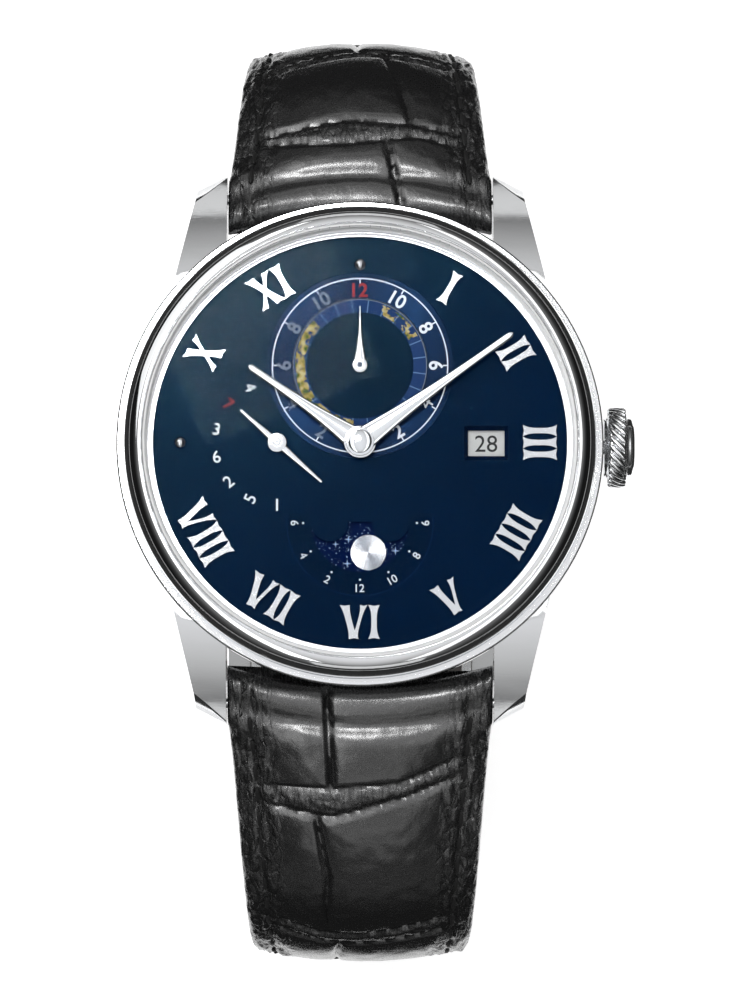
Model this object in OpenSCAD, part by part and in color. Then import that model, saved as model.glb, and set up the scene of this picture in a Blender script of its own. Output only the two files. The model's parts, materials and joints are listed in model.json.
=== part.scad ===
// Automatic wristwatch with world time, weekday, date and moon phase, on a buckled strap.
// +Z is the dial's normal, +Y points to 12 o'clock and +X to the crown at 3 o'clock.
// The origin lies on the plane that the buckled strap rests on, under the axis of the hands.

/* [Case] */
// Diameter of the middle case
case_d = 40; // [39.5:0.5:44]
// Wall of the middle case round the movement holder
case_wall = 2.7; // [2.4:0.1:3]
// Height of the middle case
case_h = 7.8; // [7.6:0.1:9]
// How far the flank draws in towards the back
flank_in = 1.5; // [1:0.1:2]
// How far the lug tips reach beyond the radius of the case
lug_reach = 2.8; // [2.6:0.1:4]
// Width of one lug at its tip
lug_w = 2.5; // [2.2:0.1:3.2]
// Width of the polished bezel
bezel_w = 1.6; // [1.2:0.1:2]
// Height of the bezel above the middle case
bezel_h = 2.9; // [2.7:0.1:3.4]
// Thickness of the crystal at its edge
crystal_t = 1.3; // [1:0.1:1.6]
// Rise of the crystal's dome
crystal_dome = 0.4; // [0.2:0.1:0.8]
// Thickness of the caseback ring
back_t = 1.1; // [1:0.1:1.6]
// Width of the caseback ring inside the case's bore
window_rim = 3.3; // [3.1:0.1:5]

/* [Crown] */
// Diameter over the flutes
crown_d = 6.7; // [5.5:0.1:7.2]
// Width of the fluted rim
crown_rim = 1.6; // [1.2:0.1:2.4]
// Number of flutes
crown_flutes = 28; // [16:2:36]
// Travel of the crown when it is pulled to set the hands
crown_pull = 1.2; // [0.6:0.1:1.4]

/* [Dial] */
// Thickness of the dial
dial_t = 0.4; // [0.3:0.05:0.5]
// Distance from the dial's edge to the middle of the numerals
numeral_in = 2.45; // [2.2:0.05:2.8]
// Height of the applied numerals along the radius
numeral_h = 2.8; // [2.2:0.1:3.2]
// Thickness of the applied numerals and balls
numeral_t = 0.35; // [0.2:0.05:0.5]
// Diameter of the ball markers at 12 and 9
ball_d = 1.08; // [0.8:0.02:1.3]
// Distance from the centre to the world-time pivot at 12
world_y = 6.4; // [6.2:0.1:6.6]
// Radius of the recess for the 24-hour scale
world_r = 7.7; // [7.2:0.1:7.8]
// Radius of the turning map disc
map_r = 5.5; // [4.8:0.1:5.8]
// Distance from the centre to the weekday pivot at 9
week_x = 6.8; // [6.6:0.05:7]
// Distance from the centre to the date window at 3
date_x = 10.36; // [10.2:0.02:10.5]
// Width of the date window
window_w = 2.85; // [2.4:0.05:3]
// Height of the date window
window_h = 1.92; // [1.6:0.02:2.2]
// Distance from the centre to the moon disc's pivot at 6
moon_y = 6.6; // [6.4:0.1:6.8]
// Radius of the moon-phase opening
moon_open_r = 4; // [3.6:0.1:4.1]
// Diameter of each moon
moon_d = 2.9; // [2.4:0.1:3]

/* [Hands] */
// Reach of the minute hand
minute_len = 15.4; // [13:0.1:15.8]
// Reach of the hour hand
hour_len = 11.1; // [9:0.1:12]
// Width of the big hands at their root
hand_w = 2.1; // [1.6:0.1:2.6]
// Reach of the 24-hour hand
world_len = 4.9; // [4:0.1:5.6]
// Reach of the longer arm of the weekday hand
week_len = 4.9; // [4:0.1:5.2]

/* [Movement] */
// Diameter of the main plate
plate_d = 30; // [29.6:0.1:31]
// Thickness of the main plate
plate_t = 1.4; // [1.3:0.05:1.5]
// Thickness of the bridges
bridge_t = 0.7; // [0.6:0.05:0.8]
// Teeth of the barrel
barrel_n = 72; // [68:2:72]
// Module of the barrel teeth
barrel_m = 0.17; // [0.165:0.005:0.17]
// Teeth of the ratchet wheel
ratchet_n = 36; // [34:1:36]
// Radius of the balance rim
balance_r = 4; // [3.6:0.1:4.1]
// Radius of the rotor
rotor_r = 13.7; // [12.8:0.1:13.8]
// Thickness of the rotor's weight
weight_t = 0.85; // [0.7:0.05:0.9]

/* [Strap] */
// Width of the strap between the lugs
strap_w = 22; // [20:0.5:22.4]
// Width of the strap at the buckle
buckle_w = 18; // [16:0.5:18.5]
// Thickness of the padded strap near the case
pad_t = 4.4; // [3.6:0.1:5]
// Thickness of the strap at the buckle
thin_t = 2.4; // [2:0.1:2.6]
// Thickness of the stitched edge
edge_t = 2.1; // [1.6:0.1:2.2]
// How far the corners of the strap's curved end reach towards the case
ear = 1.6; // [0:0.1:2]
// Thickness of the lining
lining_t = 0.7; // [0.4:0.1:1]
// Height of the spring bars above the surface that the strap rests on
loop_h = 44.4; // [42:0.2:48]
// Reach of the 12 o'clock half from the hands' axis, along its middle
reach_12 = 35.2; // [33:0.2:38]
// Reach of the 6 o'clock half from the hands' axis, along its middle
reach_6 = 40.3; // [38:0.2:43]
// Pitch of the adjusting holes
hole_pitch = 6.5; // [5.5:0.5:7]
// Width of a keeper along the strap
keeper_w = 3.6; // [3:0.2:4]
// Thickness of a keeper
keeper_t = 0.9; // [0.7:0.1:1]

/* [Buckle] */
// Distance of the buckle's pivot behind the hands' axis, towards 6 o'clock
buckle_back = 5.4; // [5:0.2:7]
// Diameter of the bars that carry the strap
bar_d = 1.5; // [1.3:0.05:1.6]
// Distance from the buckle's pivot to the far face of its front bar
buckle_len = 11.4; // [11:0.1:12.5]
// Width of each arm of the buckle
arm_w = 2; // [1.6:0.1:2.6]
// Thickness of the front bar
front_t = 1.8; // [1.7:0.05:1.9]
// Thickness of the tongue
tongue_t = 0.8; // [0.6:0.05:0.85]
// Width of the tongue
tongue_w = 1.8; // [1.4:0.1:2]

/* [Hidden] */
$fn = 96;
slop = 0.03;

// Heights from here on are measured from the dial's upper face, and head() lifts them to their place.
case_r = case_d / 2;
bore_r = case_r - case_wall;
case_top = 0.2;
case_bot = case_top - case_h;
bar_drop = 6;
dial_z = loop_h + bar_drop;
lip_w = 0.4;
groove_w = 0.25;
bezel_r = case_r - lip_w - groove_w;
bezel_in = bezel_r - bezel_w;
bezel_top = case_top + bezel_h;
crystal_gap = 0.15;
crystal_r = bezel_in - crystal_gap;
crystal_z = bezel_top - crystal_t + 0.2;
lug_in = strap_w / 2 + slop;
lug_tip = case_r + lug_reach;
bar_y = lug_tip - 1.8;
flank_start = -1;

dial_r = bore_r - 0.1;
under_dial = -dial_t;
numeral_r = dial_r - numeral_in;
recess = 0.15;
moon_r = moon_open_r + 0.35;
date_in = 8.6;
date_out = 12.3;
date_z = under_dial - 0.42;
moon_z = under_dial - 0.2;

plate_r = plate_d / 2;
plate_top = -1.6;
plate_bot = plate_top - plate_t;
holder_top = under_dial - 0.05;
back_in = case_bot + 0.7;
bridge_top = -5;
bridge_bot = bridge_top - bridge_t;
stem_z = -3.75;
stem_r = 0.6;
tube_r = 1;
pivot_r = 0.16;
post_r = 0.6;
arbor_r = 0.28;
jewel_r = 0.7;

// Wheels of the going train: teeth and modules, then the centres that put them in mesh.
center_pinion_n = 12;
center_n = 64;
center_m = 0.15;
third_pinion_n = 8;
third_n = 60;
third_m = 0.13;
fourth_pinion_n = 8;
fourth_n = 70;
fourth_m = 0.11;
escape_pinion_n = 7;
escape_n = 15;
escape_r = 2.2;
pallet_reach = escape_r / cos(30);
ratchet_m = 0.24;
crown_wheel_n = 24;
face_pinion_n = 12;
face_r = 2.4;
face_pinion_r = face_r * face_pinion_n / crown_wheel_n;

function at(p, d, a) = [p.x + d * cos(a), p.y + d * sin(a)];
function gap_of(na, nb, m) = (na + nb) * m / 2;
barrel_a = 60;
third_a = 200;
fourth_a = 270;
escape_a = -10;
balance_a = 0;
barrel_c = at([0, 0], gap_of(barrel_n, center_pinion_n, barrel_m), barrel_a);
third_c = at([0, 0], gap_of(center_n, third_pinion_n, center_m), third_a);
fourth_c = at(third_c, gap_of(third_n, fourth_pinion_n, third_m), fourth_a);
escape_c = at(fourth_c, gap_of(fourth_n, escape_pinion_n, fourth_m), escape_a);
pallet_c = at(escape_c, pallet_reach, balance_a);
balance_c = at(escape_c, 7.2, balance_a);
winding_gap = gap_of(ratchet_n, crown_wheel_n, ratchet_m);
crown_wheel_c = [barrel_c.x + sqrt(pow(winding_gap, 2) - pow(barrel_c.y, 2)), 0];
winding_a = atan2(crown_wheel_c.y - barrel_c.y, crown_wheel_c.x - barrel_c.x);
pinion_x = crown_wheel_c.x + face_r - 0.55;
pinion_len = 1;
face_m = face_pinion_r * 2 / face_pinion_n * 0.94;
stem_in = pinion_x + 0.5 - crown_pull;
barrel_r = barrel_n * barrel_m / 2;

// Motion work under the dial, from the cannon pinion to the hour wheel, 12 to 1.
cannon_n = 12;
minute_wheel_n = 36;
minute_pinion_n = 10;
hour_n = 40;
cannon_m = 0.16;
motion_gap = gap_of(cannon_n, minute_wheel_n, cannon_m);
hour_m = 2 * motion_gap / (minute_pinion_n + hour_n);
minute_wheel_c = [motion_gap, 0];
cannon_pipe_r = 0.55;
hour_pipe_r = 0.85;
hour_hand_z = 0.8;
minute_hand_z = 1.15;
hand_t = 0.2;
sub_hand_z = 0.3;
sub_hand_t = 0.13;

// Angle that sets gear B's teeth into the gaps of gear A, in the direction a from A to B.
function mesh(a, phase_a, na, nb) = a + 180 - (0.5 - (a - phase_a) * na / 360) * 360 / nb;

function arc(c, r, a0, a1, n) = [for (i = [0 : n]) at(c, r, a0 + (a1 - a0) * i / n)];

function tooth_ring(n, m) = [for (i = [0 : n - 1]) each [
    at([0, 0], n * m / 2 - 1.15 * m, (i - 0.27) * 360 / n),
    at([0, 0], n * m / 2 + 0.85 * m, (i - 0.12) * 360 / n),
    at([0, 0], n * m / 2 + 0.85 * m, (i + 0.12) * 360 / n),
    at([0, 0], n * m / 2 - 1.15 * m, (i + 0.27) * 360 / n)]];

module head() { translate([0, 0, dial_z]) children(); }
module disc(r, z0, z1) { translate([0, 0, z0]) cylinder(r = r, h = z1 - z0); }
module ring(ro, ri, z0, z1) {
    difference() {
        disc(ro, z0, z1);
        disc(ri, z0 - 1, z1 + 1);
    }
}
module spot(c) { translate([c.x, c.y, 0]) children(); }
module slab(pts, z0, z1) { translate([0, 0, z0]) linear_extrude(z1 - z0) polygon(pts); }
module gear(n, m, phase, z0, z1) { rotate([0, 0, phase]) slab(tooth_ring(n, m), z0, z1); }
module across(x0, x1, r) { translate([x0, 0, stem_z]) rotate([0, 90, 0]) cylinder(r = r, h = x1 - x0); }

// A train wheel with its rim, spokes, pinion and arbor.
module wheel(c, n, m, phase, z0, z1, pin_n, pin_m, pin_phase, p0, p1, spokes) {
    rim = n * m / 2 - 1.15 * m - 0.45;
    spot(c) {
        difference() {
            gear(n, m, phase, z0, z1);
            disc(rim, z0 - 1, z1 + 1);
        }
        difference() {
            for (i = [0 : spokes - 1]) {
                rotate([0, 0, i * 360 / spokes]) translate([0, -0.2, z0]) cube([rim + 0.1, 0.4, z1 - z0]);
            }
            disc(arbor_r, z0 - 1, z1 + 1);
        }
        disc(pin_n * pin_m / 2 + 0.25, z0, z1);
        gear(pin_n, pin_m, pin_phase, p0, p1);
        disc(arbor_r, bridge_top - 0.15, plate_bot - 0.1);
        disc(pivot_r, bridge_bot + 0.1, plate_bot + 0.8);
    }
}

/* Case */
function flank(z) = case_r - flank_in * pow(max(0, flank_start - z) / (flank_start - case_bot), 1.3);
flank_pts = [for (i = [0 : 8]) let (z = flank_start + (case_bot - flank_start) * i / 8) [flank(z), z]];
lug_top_r = 22;
lug_top_c = [10.5, -22.6];

tip_slant = 1.3;
tip_a = atan(tip_slant / lug_w);
facet = 0.55;
facet_a = 60;
facet_z = lug_top_c.y + sqrt(pow(lug_top_r, 2) - pow(lug_tip - tip_slant / 2 - facet - lug_top_c.x, 2));
// Everything above the facet that slopes down to the lug's tip.
module beyond_facet() {
    translate([lug_in, lug_tip, facet_z]) rotate([0, 0, -tip_a]) translate([0, -facet, 0])
        rotate([-facet_a, 0, 0]) translate([-2, -4, 0]) cube([8, 8, 4]);
}
module lug() {
    tip = lug_tip;
    difference() {
        lug_body(tip);
        beyond_facet();
    }
}
module lug_body(tip) {
    intersection() {
        slab([[lug_in, 9], [lug_in, tip], [lug_in + lug_w, tip - tip_slant], [lug_in + lug_w + 0.15, tip -
            2.4],
            [lug_in + lug_w + 0.65, tip - 4.5], [lug_in + lug_w + 2.1, tip - 10.5], [lug_in + lug_w + 2.1,
                9]], case_bot - 0.6, case_top);
        translate([0, lug_top_c.x, lug_top_c.y]) rotate([0, 90, 0]) cylinder(r = lug_top_r, h = case_r);
        translate([0, 9, case_bot]) rotate([90, 0, 90]) linear_extrude(case_r)
            polygon([[0, 0], [tip - 15, 0], [tip - 13, -0.6], [tip - 9.6, -0.6], [tip - 9, 0.2], [tip - 9,
                8], [0, 8]]);
    }
}

module mid_case() color("#c9ccd0") head() {
    difference() {
        union() {
            rotate_extrude() polygon(concat([[bore_r, case_top - 0.6], [bezel_in + 0.45, case_top - 0.6],
                [bezel_in + 0.45, case_top], [bezel_r, case_top], [bezel_r + 0.05, case_top - 0.3],
                [bezel_r + groove_w, case_top - 0.3], [bezel_r + groove_w, case_top], [case_r - 0.12,
                    case_top], [case_r, case_top - 0.12]], flank_pts, [[bore_r, case_bot]]));
            difference() {
                for (sx = [0, 1], sy = [0, 1]) mirror([sx, 0, 0]) mirror([0, sy, 0]) lug();
                disc(bore_r + 0.5, case_bot - 1, case_top + 1);
            }
        }
        across(bore_r - 2, case_r + 1, tube_r);
        for (sx = [0, 1], sy = [-1, 1]) {
            mirror([sx, 0, 0]) translate([lug_in - 1, sy * bar_y, -bar_drop]) rotate([0, 90, 0])
                cylinder(r = 0.45, h = 2.3, $fn = 32);
        }
    }
}

// The bezel stands on an upright wall and is rounded over to its inner edge in a quarter of an ellipse.
bezel_round = 1.5;
module bezel() color("#d4d7da") head() rotate_extrude() polygon(concat(
    [[bore_r, case_top - 0.6], [bezel_in + 0.45 - slop, case_top - 0.6], [bezel_in + 0.45 - slop,
        case_top]],
    [[bezel_r, case_top]], [for (i = [0 : 12]) let (a = i * 7.5) [bezel_r - (bezel_w - 0.12) * (1 - cos(a)),
        bezel_top - bezel_round * (1 - sin(a))]],
    [[bezel_in, bezel_top - 0.12], [bezel_in, case_top], [bore_r, case_top]]));

module crystal() color("#dfe9ee", 0.35) head() rotate_extrude() polygon(concat([[0, crystal_z],
    [crystal_r, crystal_z], [crystal_r, crystal_z + crystal_t - 0.2]], [for (i = [8 : -1 : 0])
    [(crystal_r - 0.3) * i / 8, crystal_z + crystal_t + crystal_dome * (1 - pow(i / 8, 2))]]));

module crystal_gasket() color("#d8dad8") head() rotate_extrude() polygon([[crystal_r - 0.25, crystal_z -
    0.1],
    [bezel_in, crystal_z - 0.1], [bezel_in, crystal_z + crystal_t - 0.3], [crystal_r, crystal_z + crystal_t
        - 0.3], [crystal_r, crystal_z], [crystal_r - 0.25, crystal_z]]);

// The flange climbs from the dial to the crystal in steps.
flange_in = dial_r - 0.25;
flange_out = bezel_in - 0.2;
flange_steps = 3;
flange_top = crystal_z - 0.1;
module flange_ring() color("#c5c9cd") head() rotate_extrude() polygon(concat([[bore_r - slop, 0],
    [bore_r - slop, case_top], [bezel_in, case_top], [bezel_in, flange_top]],
    [for (i = [flange_steps : -1 : 1]) let (r = flange_in + (flange_out - flange_in) * (i - 1) /
        flange_steps,
        next = flange_in + (flange_out - flange_in) * i / flange_steps) each [[next, flange_top * i /
            flange_steps], [r + 0.04, flange_top * i / flange_steps]]], [[flange_in, 0]]));

window_r = bore_r - window_rim;
glass_back_r = window_r + 0.55;
module caseback_ring() color("#b9bdc2") head() difference() {
    rotate_extrude() polygon([[window_r, case_bot - back_t], [flank(case_bot) - 0.6, case_bot - back_t],
        [flank(case_bot), case_bot - back_t + 0.5], [flank(case_bot), case_bot], [bore_r - 0.1, case_bot],
        [bore_r - 0.1, case_bot + 0.2], [bore_r - 0.45, case_bot + 0.2], [bore_r - 0.45, case_bot + 0.5],
        [bore_r - 0.1, case_bot + 0.5], [bore_r - 0.1, back_in], [glass_back_r + 0.7, back_in],
        [glass_back_r, back_in - 0.5], [glass_back_r, case_bot - back_t + 0.25],
        [window_r, case_bot - back_t + 0.25]]);
    for (i = [0 : 5]) rotate([0, 0, 30 + i * 60]) translate([(window_r + flank(case_bot)) / 2, 0,
        case_bot - back_t - 1]) cylinder(r = 0.85, h = 1.5, $fn = 32);
}
module caseback_crystal() color("#dfe9ee", 0.35) head() disc(glass_back_r - slop, case_bot - back_t + 0.25,
    back_in - 0.55);
module caseback_gasket() color("#22252a") head() ring(bore_r - slop, bore_r - 0.45, case_bot + 0.2,
    case_bot + 0.5);
module crown_tube() color("#aeb2b6") head() difference() {
    across(bore_r, flank(stem_z) - 0.05, tube_r);
    across(bore_r - 1, case_r, stem_r + 0.06);
}
module movement_holder() color("#8c9094") head() difference() {
    ring(bore_r - slop, plate_r + slop, back_in, holder_top);
    across(0, bore_r + 1, tube_r);
}

crown_x = case_r + 0.1;
module crown() color("#cfd2d5") head() difference() {
    translate([0, 0, stem_z]) rotate([0, 90, 0]) rotate_extrude() polygon([[0, crown_x], [2.4, crown_x],
        [2.5, case_r + 0.35], [crown_d / 2 - 0.25, case_r + 0.4], [crown_d / 2, case_r + 0.6],
        [crown_d / 2, case_r + 0.4 + crown_rim - 0.2], [crown_d / 2 - 0.25, case_r + 0.4 + crown_rim],
        [2.55, case_r + 0.4 + crown_rim], [2.5, case_r + 0.8 + crown_rim], [1.9, case_r + 1 + crown_rim],
        [0, case_r + 1.1 + crown_rim]]);
    for (i = [0 : crown_flutes - 1]) {
        translate([case_r + 0.4 + crown_rim / 2, 0, stem_z]) rotate([i * 360 / crown_flutes, 0, 0])
            translate([0, 0, crown_d / 2 + 0.12]) rotate([0, 90, -42]) cylinder(r = 0.3, h = 4, center =
                true, $fn = 16);
    }
    across(crown_x - 1, crown_x + 1.4, stem_r);
}
module winding_stem() color("#a8acb0") head() across(stem_in, crown_x + 1.4, stem_r);

/* Dial */
module world() { translate([0, world_y, 0]) children(); }
module week() { translate([-week_x, 0, 0]) children(); }
module moon() { translate([0, -moon_y, 0]) children(); }
frame_w = window_w + 0.98;
frame_h = window_h + 1.15;

module dial() color("#0b2a4a") head() {
    difference() {
        disc(dial_r, under_dial, 0);
        disc(hour_pipe_r + 0.1, -1, 1);
        world() disc(world_r, -recess, 1);
        world() disc(0.75, -1, 1);
        week() disc(0.3, -1, 1);
        translate([date_x - frame_w / 2, -frame_h / 2, -1]) cube([frame_w, frame_h, 2]);
        moon() difference() {
            disc(moon_open_r, -1, 1);
            for (sx = [-1, 1]) {
                translate([sx * (moon_open_r + 0.95) / 2, 0, 0]) disc((moon_open_r - 0.95) / 2, -2, 2);
                translate([sx * (moon_open_r + 5 - 0.05) - 5, 0, -2]) cube([10, 10, 4]);
            }
            translate([-5, 0.1, -2]) cube([10, 5, 4]);
        }
    }
    for (a = [60, 240]) rotate([0, 0, a]) translate([plate_r - 1, 0, 0]) disc(0.35, plate_top - 0.6,
        under_dial);
}

// A flared stroke of a numeral with hollow ends, leaning by the offsets of its foot and its head.
module stroke(x0, x1, mid, end) {
    h = numeral_h / 2;
    lean = (x1 - x0) / 2;
    polygon([for (s = [-1, 1]) each concat([for (i = [-8 : 8]) let (v = s * i / 8)
        [(x0 + x1) / 2 - lean * v - s * (mid + (end - mid) * pow(abs(v), 3.2)) / 2, -v * h]],
        [[(x0 + x1) / 2 - s * lean, -s * (h - 0.09)]])]);
}
module one(x) { stroke(x, x, 0.44, 0.96); }
module five(x) {
    stroke(x - 0.02, x - 0.76, 0.5, 0.84);
    stroke(x + 0.02, x + 0.8, 0.26, 0.62);
}
module ten(x) {
    stroke(x + 0.74, x - 0.74, 0.5, 0.84);
    stroke(x - 0.74, x + 0.74, 0.24, 0.6);
}
// Widths of the three letters, and the numerals as rows of them, with III cut by the date window left out.
function wide(c) = c == "I" ? 0.98 : 2.3;
function width_to(s, k) = k <= 0 ? 0 : wide(s[k - 1]) + width_to(s, k - 1);
numerals = [[1, "I"], [2, "II"], [3, "III"], [4, "IIII"], [5, "V"], [6, "VI"], [7, "VII"], [8, "VIII"],
    [10, "X"], [11, "XI"]];
module hour_numerals() color("#d9dbdd") head() for (n = numerals) {
    rotate([0, 0, -n[0] * 30]) translate([0, numeral_r, 0]) rotate([0, 0, abs(n[0] - 6) < 3 ? 180 : 0])
        linear_extrude(numeral_t) {
        for (k = [0 : len(n[1]) - 1]) let (c = n[1][k], x = width_to(n[1], k) + (wide(c) - width_to(n[1],
            len(n[1]))) / 2) {
            if (c == "I") one(x);
            if (c == "V") five(x);
            if (c == "X") ten(x);
        }
    }
}
module hour_balls() color("#e3e5e7") head() for (a = [0, 90]) rotate([0, 0, a]) translate([0, numeral_r, 0])
    intersection() {
        translate([0, 0, ball_d * 0.1]) sphere(r = ball_d / 2, $fn = 48);
        disc(ball_d, 0, ball_d);
    }

module scale_ring_24h() color("#5b7287") head() world() difference() {
    ring(world_r - 0.05, map_r + 0.08, -recess, -0.03);
    for (i = [0 : 11]) rotate([0, 0, i * 30]) translate([world_r - 0.55, 0, 0]) disc(0.12, -0.08, 1, $fn =
        24);
    translate([0, -world_y, 0]) disc(hour_pipe_r + 0.1, -1, 1);
}
module map_ring() color("#23507c") head() world() difference() {
    union() {
        disc(map_r, -recess + slop, -0.03);
        disc(0.7, -0.9, -recess + slop);
    }
    disc(0.3, -2, 1);
}
module date_window_frame() color("#12365c") head() translate([date_x, 0, 0]) difference() {
    translate([-frame_w / 2, -frame_h / 2, under_dial]) cube([frame_w, frame_h, dial_t + 0.02]);
    hull() {
        translate([-window_w / 2, -window_h / 2, under_dial - 0.1]) cube([window_w, window_h, 0.2]);
        translate([0.1 - frame_w / 2, 0.1 - frame_h / 2, 0.03]) cube([frame_w - 0.2, frame_h - 0.2, 0.01]);
    }
}
module date_ring() color("#e8e8e4") head() difference() {
    ring(date_out, date_in, date_z, date_z + 0.15);
    for (i = [0 : 30]) rotate([0, 0, i * 360 / 31]) translate([date_in, 0, 0]) disc(0.32, date_z - 1, 0,
        $fn = 16);
}
module moon_disc() color("#0d2238") head() moon() {
    disc(moon_r, moon_z, moon_z + 0.13);
    disc(0.3, plate_top - 0.6, moon_z);
}
module moons() color("#b9bcc0") head() moon() for (a = [-74, 106]) rotate([0, 0, a])
    translate([2.475, 0, 0]) disc(moon_d / 2, moon_z + 0.13, moon_z + 0.17);

/* Hands */
// Half width of a hand that tapers in a hollow curve from its root to a round tip.
function taper(t, root, tip) = (tip + (root - tip) * pow(1 - t, 2.4)) / 2;
module tapered_hand(reach, root, tip, t) {
    pts = [for (i = [0 : 12]) let (y = reach * i / 12.4) [taper(i / 12, root, tip), y]];
    linear_extrude(t) polygon(concat(pts, [[0, reach]], [for (i = [12 : -1 : 0]) [-pts[i].x, pts[i].y]]));
}
hour_at = -304.5;
minute_at = -54.5;
module hour_hand() color("#d9dbdd") head() difference() {
    union() {
        rotate([0, 0, hour_at]) translate([0, 0, hour_hand_z]) tapered_hand(hour_len, hand_w, 0.5, hand_t);
        disc(1.35, hour_hand_z, hour_hand_z + hand_t);
    }
    disc(hour_pipe_r, 0, 2);
}
module minute_hand() color("#d9dbdd") head() difference() {
    union() {
        rotate([0, 0, minute_at]) translate([0, 0, minute_hand_z]) tapered_hand(minute_len, hand_w, 0.5,
            hand_t);
        disc(1.2, minute_hand_z, minute_hand_z + hand_t);
    }
    disc(cannon_pipe_r, 0, 2);
}
module hand_cap() color("#e2e4e6") head() rotate_extrude() polygon([[0, minute_hand_z + hand_t],
    [0.97, minute_hand_z + hand_t], [0.97, minute_hand_z + hand_t + 0.18], [0.75, minute_hand_z + hand_t +
        0.3], [0, minute_hand_z + hand_t + 0.32]]);
// Half the width of the drop-shaped world-time hand at a share of its length.
function drop_at(t) = 0.07 + 0.5 * pow(1 - t, 1.9);
module world_hand() color("#e2e4e6") head() world() {
    translate([0, 0, sub_hand_z]) linear_extrude(sub_hand_t) polygon(concat([[0, world_len]],
        [for (i = [11 : -1 : 0]) [drop_at(i / 12), world_len * i / 12]],
        [for (i = [0 : 11]) [-drop_at(i / 12), world_len * i / 12]]));
    disc(0.62, sub_hand_z, sub_hand_z + sub_hand_t);
    disc(0.25, plate_top - 0.6, sub_hand_z + sub_hand_t + 0.12);
}
module weekday_hand() color("#e2e4e6") head() week() {
    rotate([0, 0, -311.6]) translate([0, 0, sub_hand_z]) linear_extrude(sub_hand_t)
        polygon([[0.35, 0], [0.1, week_len * 0.82], [-0.1, week_len * 0.82], [-0.35, 0], [-0.12, -week_len],
            [0.12, -week_len]]);
    disc(0.79, sub_hand_z, sub_hand_z + sub_hand_t);
    disc(0.22, plate_top - 0.6, sub_hand_z + sub_hand_t + 0.1);
}

// The seven-pointed star under the dial that the calendar work turns by a point each day.
star_r = 3.1;
module weekday_star() color("#c8a24a") head() week() difference() {
    slab([for (i = [0 : 13]) at([0, 0], i % 2 == 0 ? star_r : star_r - 0.55, i * 360 / 14)], -0.63, -0.47);
    disc(0.22 + slop / 3, -1, 0);
    for (i = [0 : 6]) rotate([0, 0, (i + 0.5) * 360 / 7]) translate([1.5, 0, 0]) disc(0.3, -1, 0, $fn = 32);
}

/* Motion work */
module cannon_pinion() color("#c8a24a") head() difference() {
    union() {
        gear(cannon_n, cannon_m, 0, -1.42, -1.12);
        disc(cannon_pipe_r, -1.42, minute_hand_z + hand_t);
    }
    disc(arbor_r + slop, -2, minute_hand_z + hand_t - 0.1);
}
minute_phase = mesh(0, 0, cannon_n, minute_wheel_n);
module minute_wheel() color("#c8a24a") head() spot(minute_wheel_c) difference() {
    union() {
        gear(minute_wheel_n, cannon_m, minute_phase, -1.38, -1.18);
        gear(minute_pinion_n, hour_m, 0, -1.18, -0.88);
    }
    disc(arbor_r + slop, -2, 0);
}
module hour_wheel() color("#c8a24a") head() difference() {
    union() {
        gear(hour_n, hour_m, mesh(180, 0, minute_pinion_n, hour_n), -1.04, -0.9);
        disc(hour_pipe_r, -1.04, hour_hand_z + hand_t);
    }
    disc(cannon_pipe_r + 0.05, -2, 2);
}

/* Movement */
train_pivots = [third_c, fourth_c, escape_c, pallet_c];
module main_plate() color("#b9b6ad") head() difference() {
    union() {
        disc(plate_r, plate_bot, plate_top);
        ring(plate_r, date_in - 0.1, plate_top, date_z - slop);
        spot(minute_wheel_c) disc(arbor_r, plate_top, -0.95);
        spot(crown_wheel_c) disc(post_r, bridge_bot - 0.28, plate_bot);
        translate([10.5, -1.7, -4.7]) cube([plate_r - 0.9 - 10.5, 3.4, 4.7 + plate_bot]);
    }
    for (c = concat(train_pivots, [balance_c])) spot(c) disc(pivot_r + slop, plate_bot - 1, 0);
    disc(arbor_r + slop, plate_bot - 1, 0);
    world() disc(0.25 + slop, plate_top - 0.7, 0);
    week() disc(0.22 + slop, plate_top - 0.7, 0);
    moon() disc(0.3 + slop, plate_top - 0.7, 0);
    spot(barrel_c) disc(0.7 + slop, plate_bot - 1, plate_bot + 0.8);
    for (a = [60, 240]) rotate([0, 0, a]) translate([plate_r - 1, 0, 0]) disc(0.35 + slop, plate_top - 0.7,
        0);
    across(10, plate_r + 1, stem_r + slop);
    translate([pinion_x - 0.15, 0, stem_z]) rotate([0, 90, 0])
        cylinder(r = face_pinion_r + 0.2, h = pinion_len + 0.3);
}

barrel_top = -4.6;
module barrel() color("#c8a24a") head() spot(barrel_c) difference() {
    union() {
        gear(barrel_n, barrel_m, 0, -4.1, -3.85);
        disc(barrel_r - 0.5, barrel_top, -3.75);
        disc(1.5, -3.75, plate_bot - 0.05);
    }
    disc(0.75 + slop, barrel_top - 1, -2);
    ring(barrel_r - 1.2, 2.2, barrel_top - 1, barrel_top + 0.1);
}
module ratchet_wheel() color("#c2c5c9") head() spot(barrel_c) {
    difference() {
        gear(ratchet_n, ratchet_m, 0, bridge_bot - 0.28, bridge_bot - 0.02);
        for (i = [0 : 5]) rotate([0, 0, i * 60]) translate([2.6, 0, 0]) disc(0.6, bridge_bot - 1, 0, $fn =
            32);
        translate([-0.75, -0.12, bridge_bot - 0.32]) cube([1.5, 0.24, 0.14]);
    }
    disc(0.7, bridge_bot - 0.02, plate_bot + 0.6);
}
ratchet_mesh = mesh(winding_a, 0, ratchet_n, crown_wheel_n);
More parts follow.
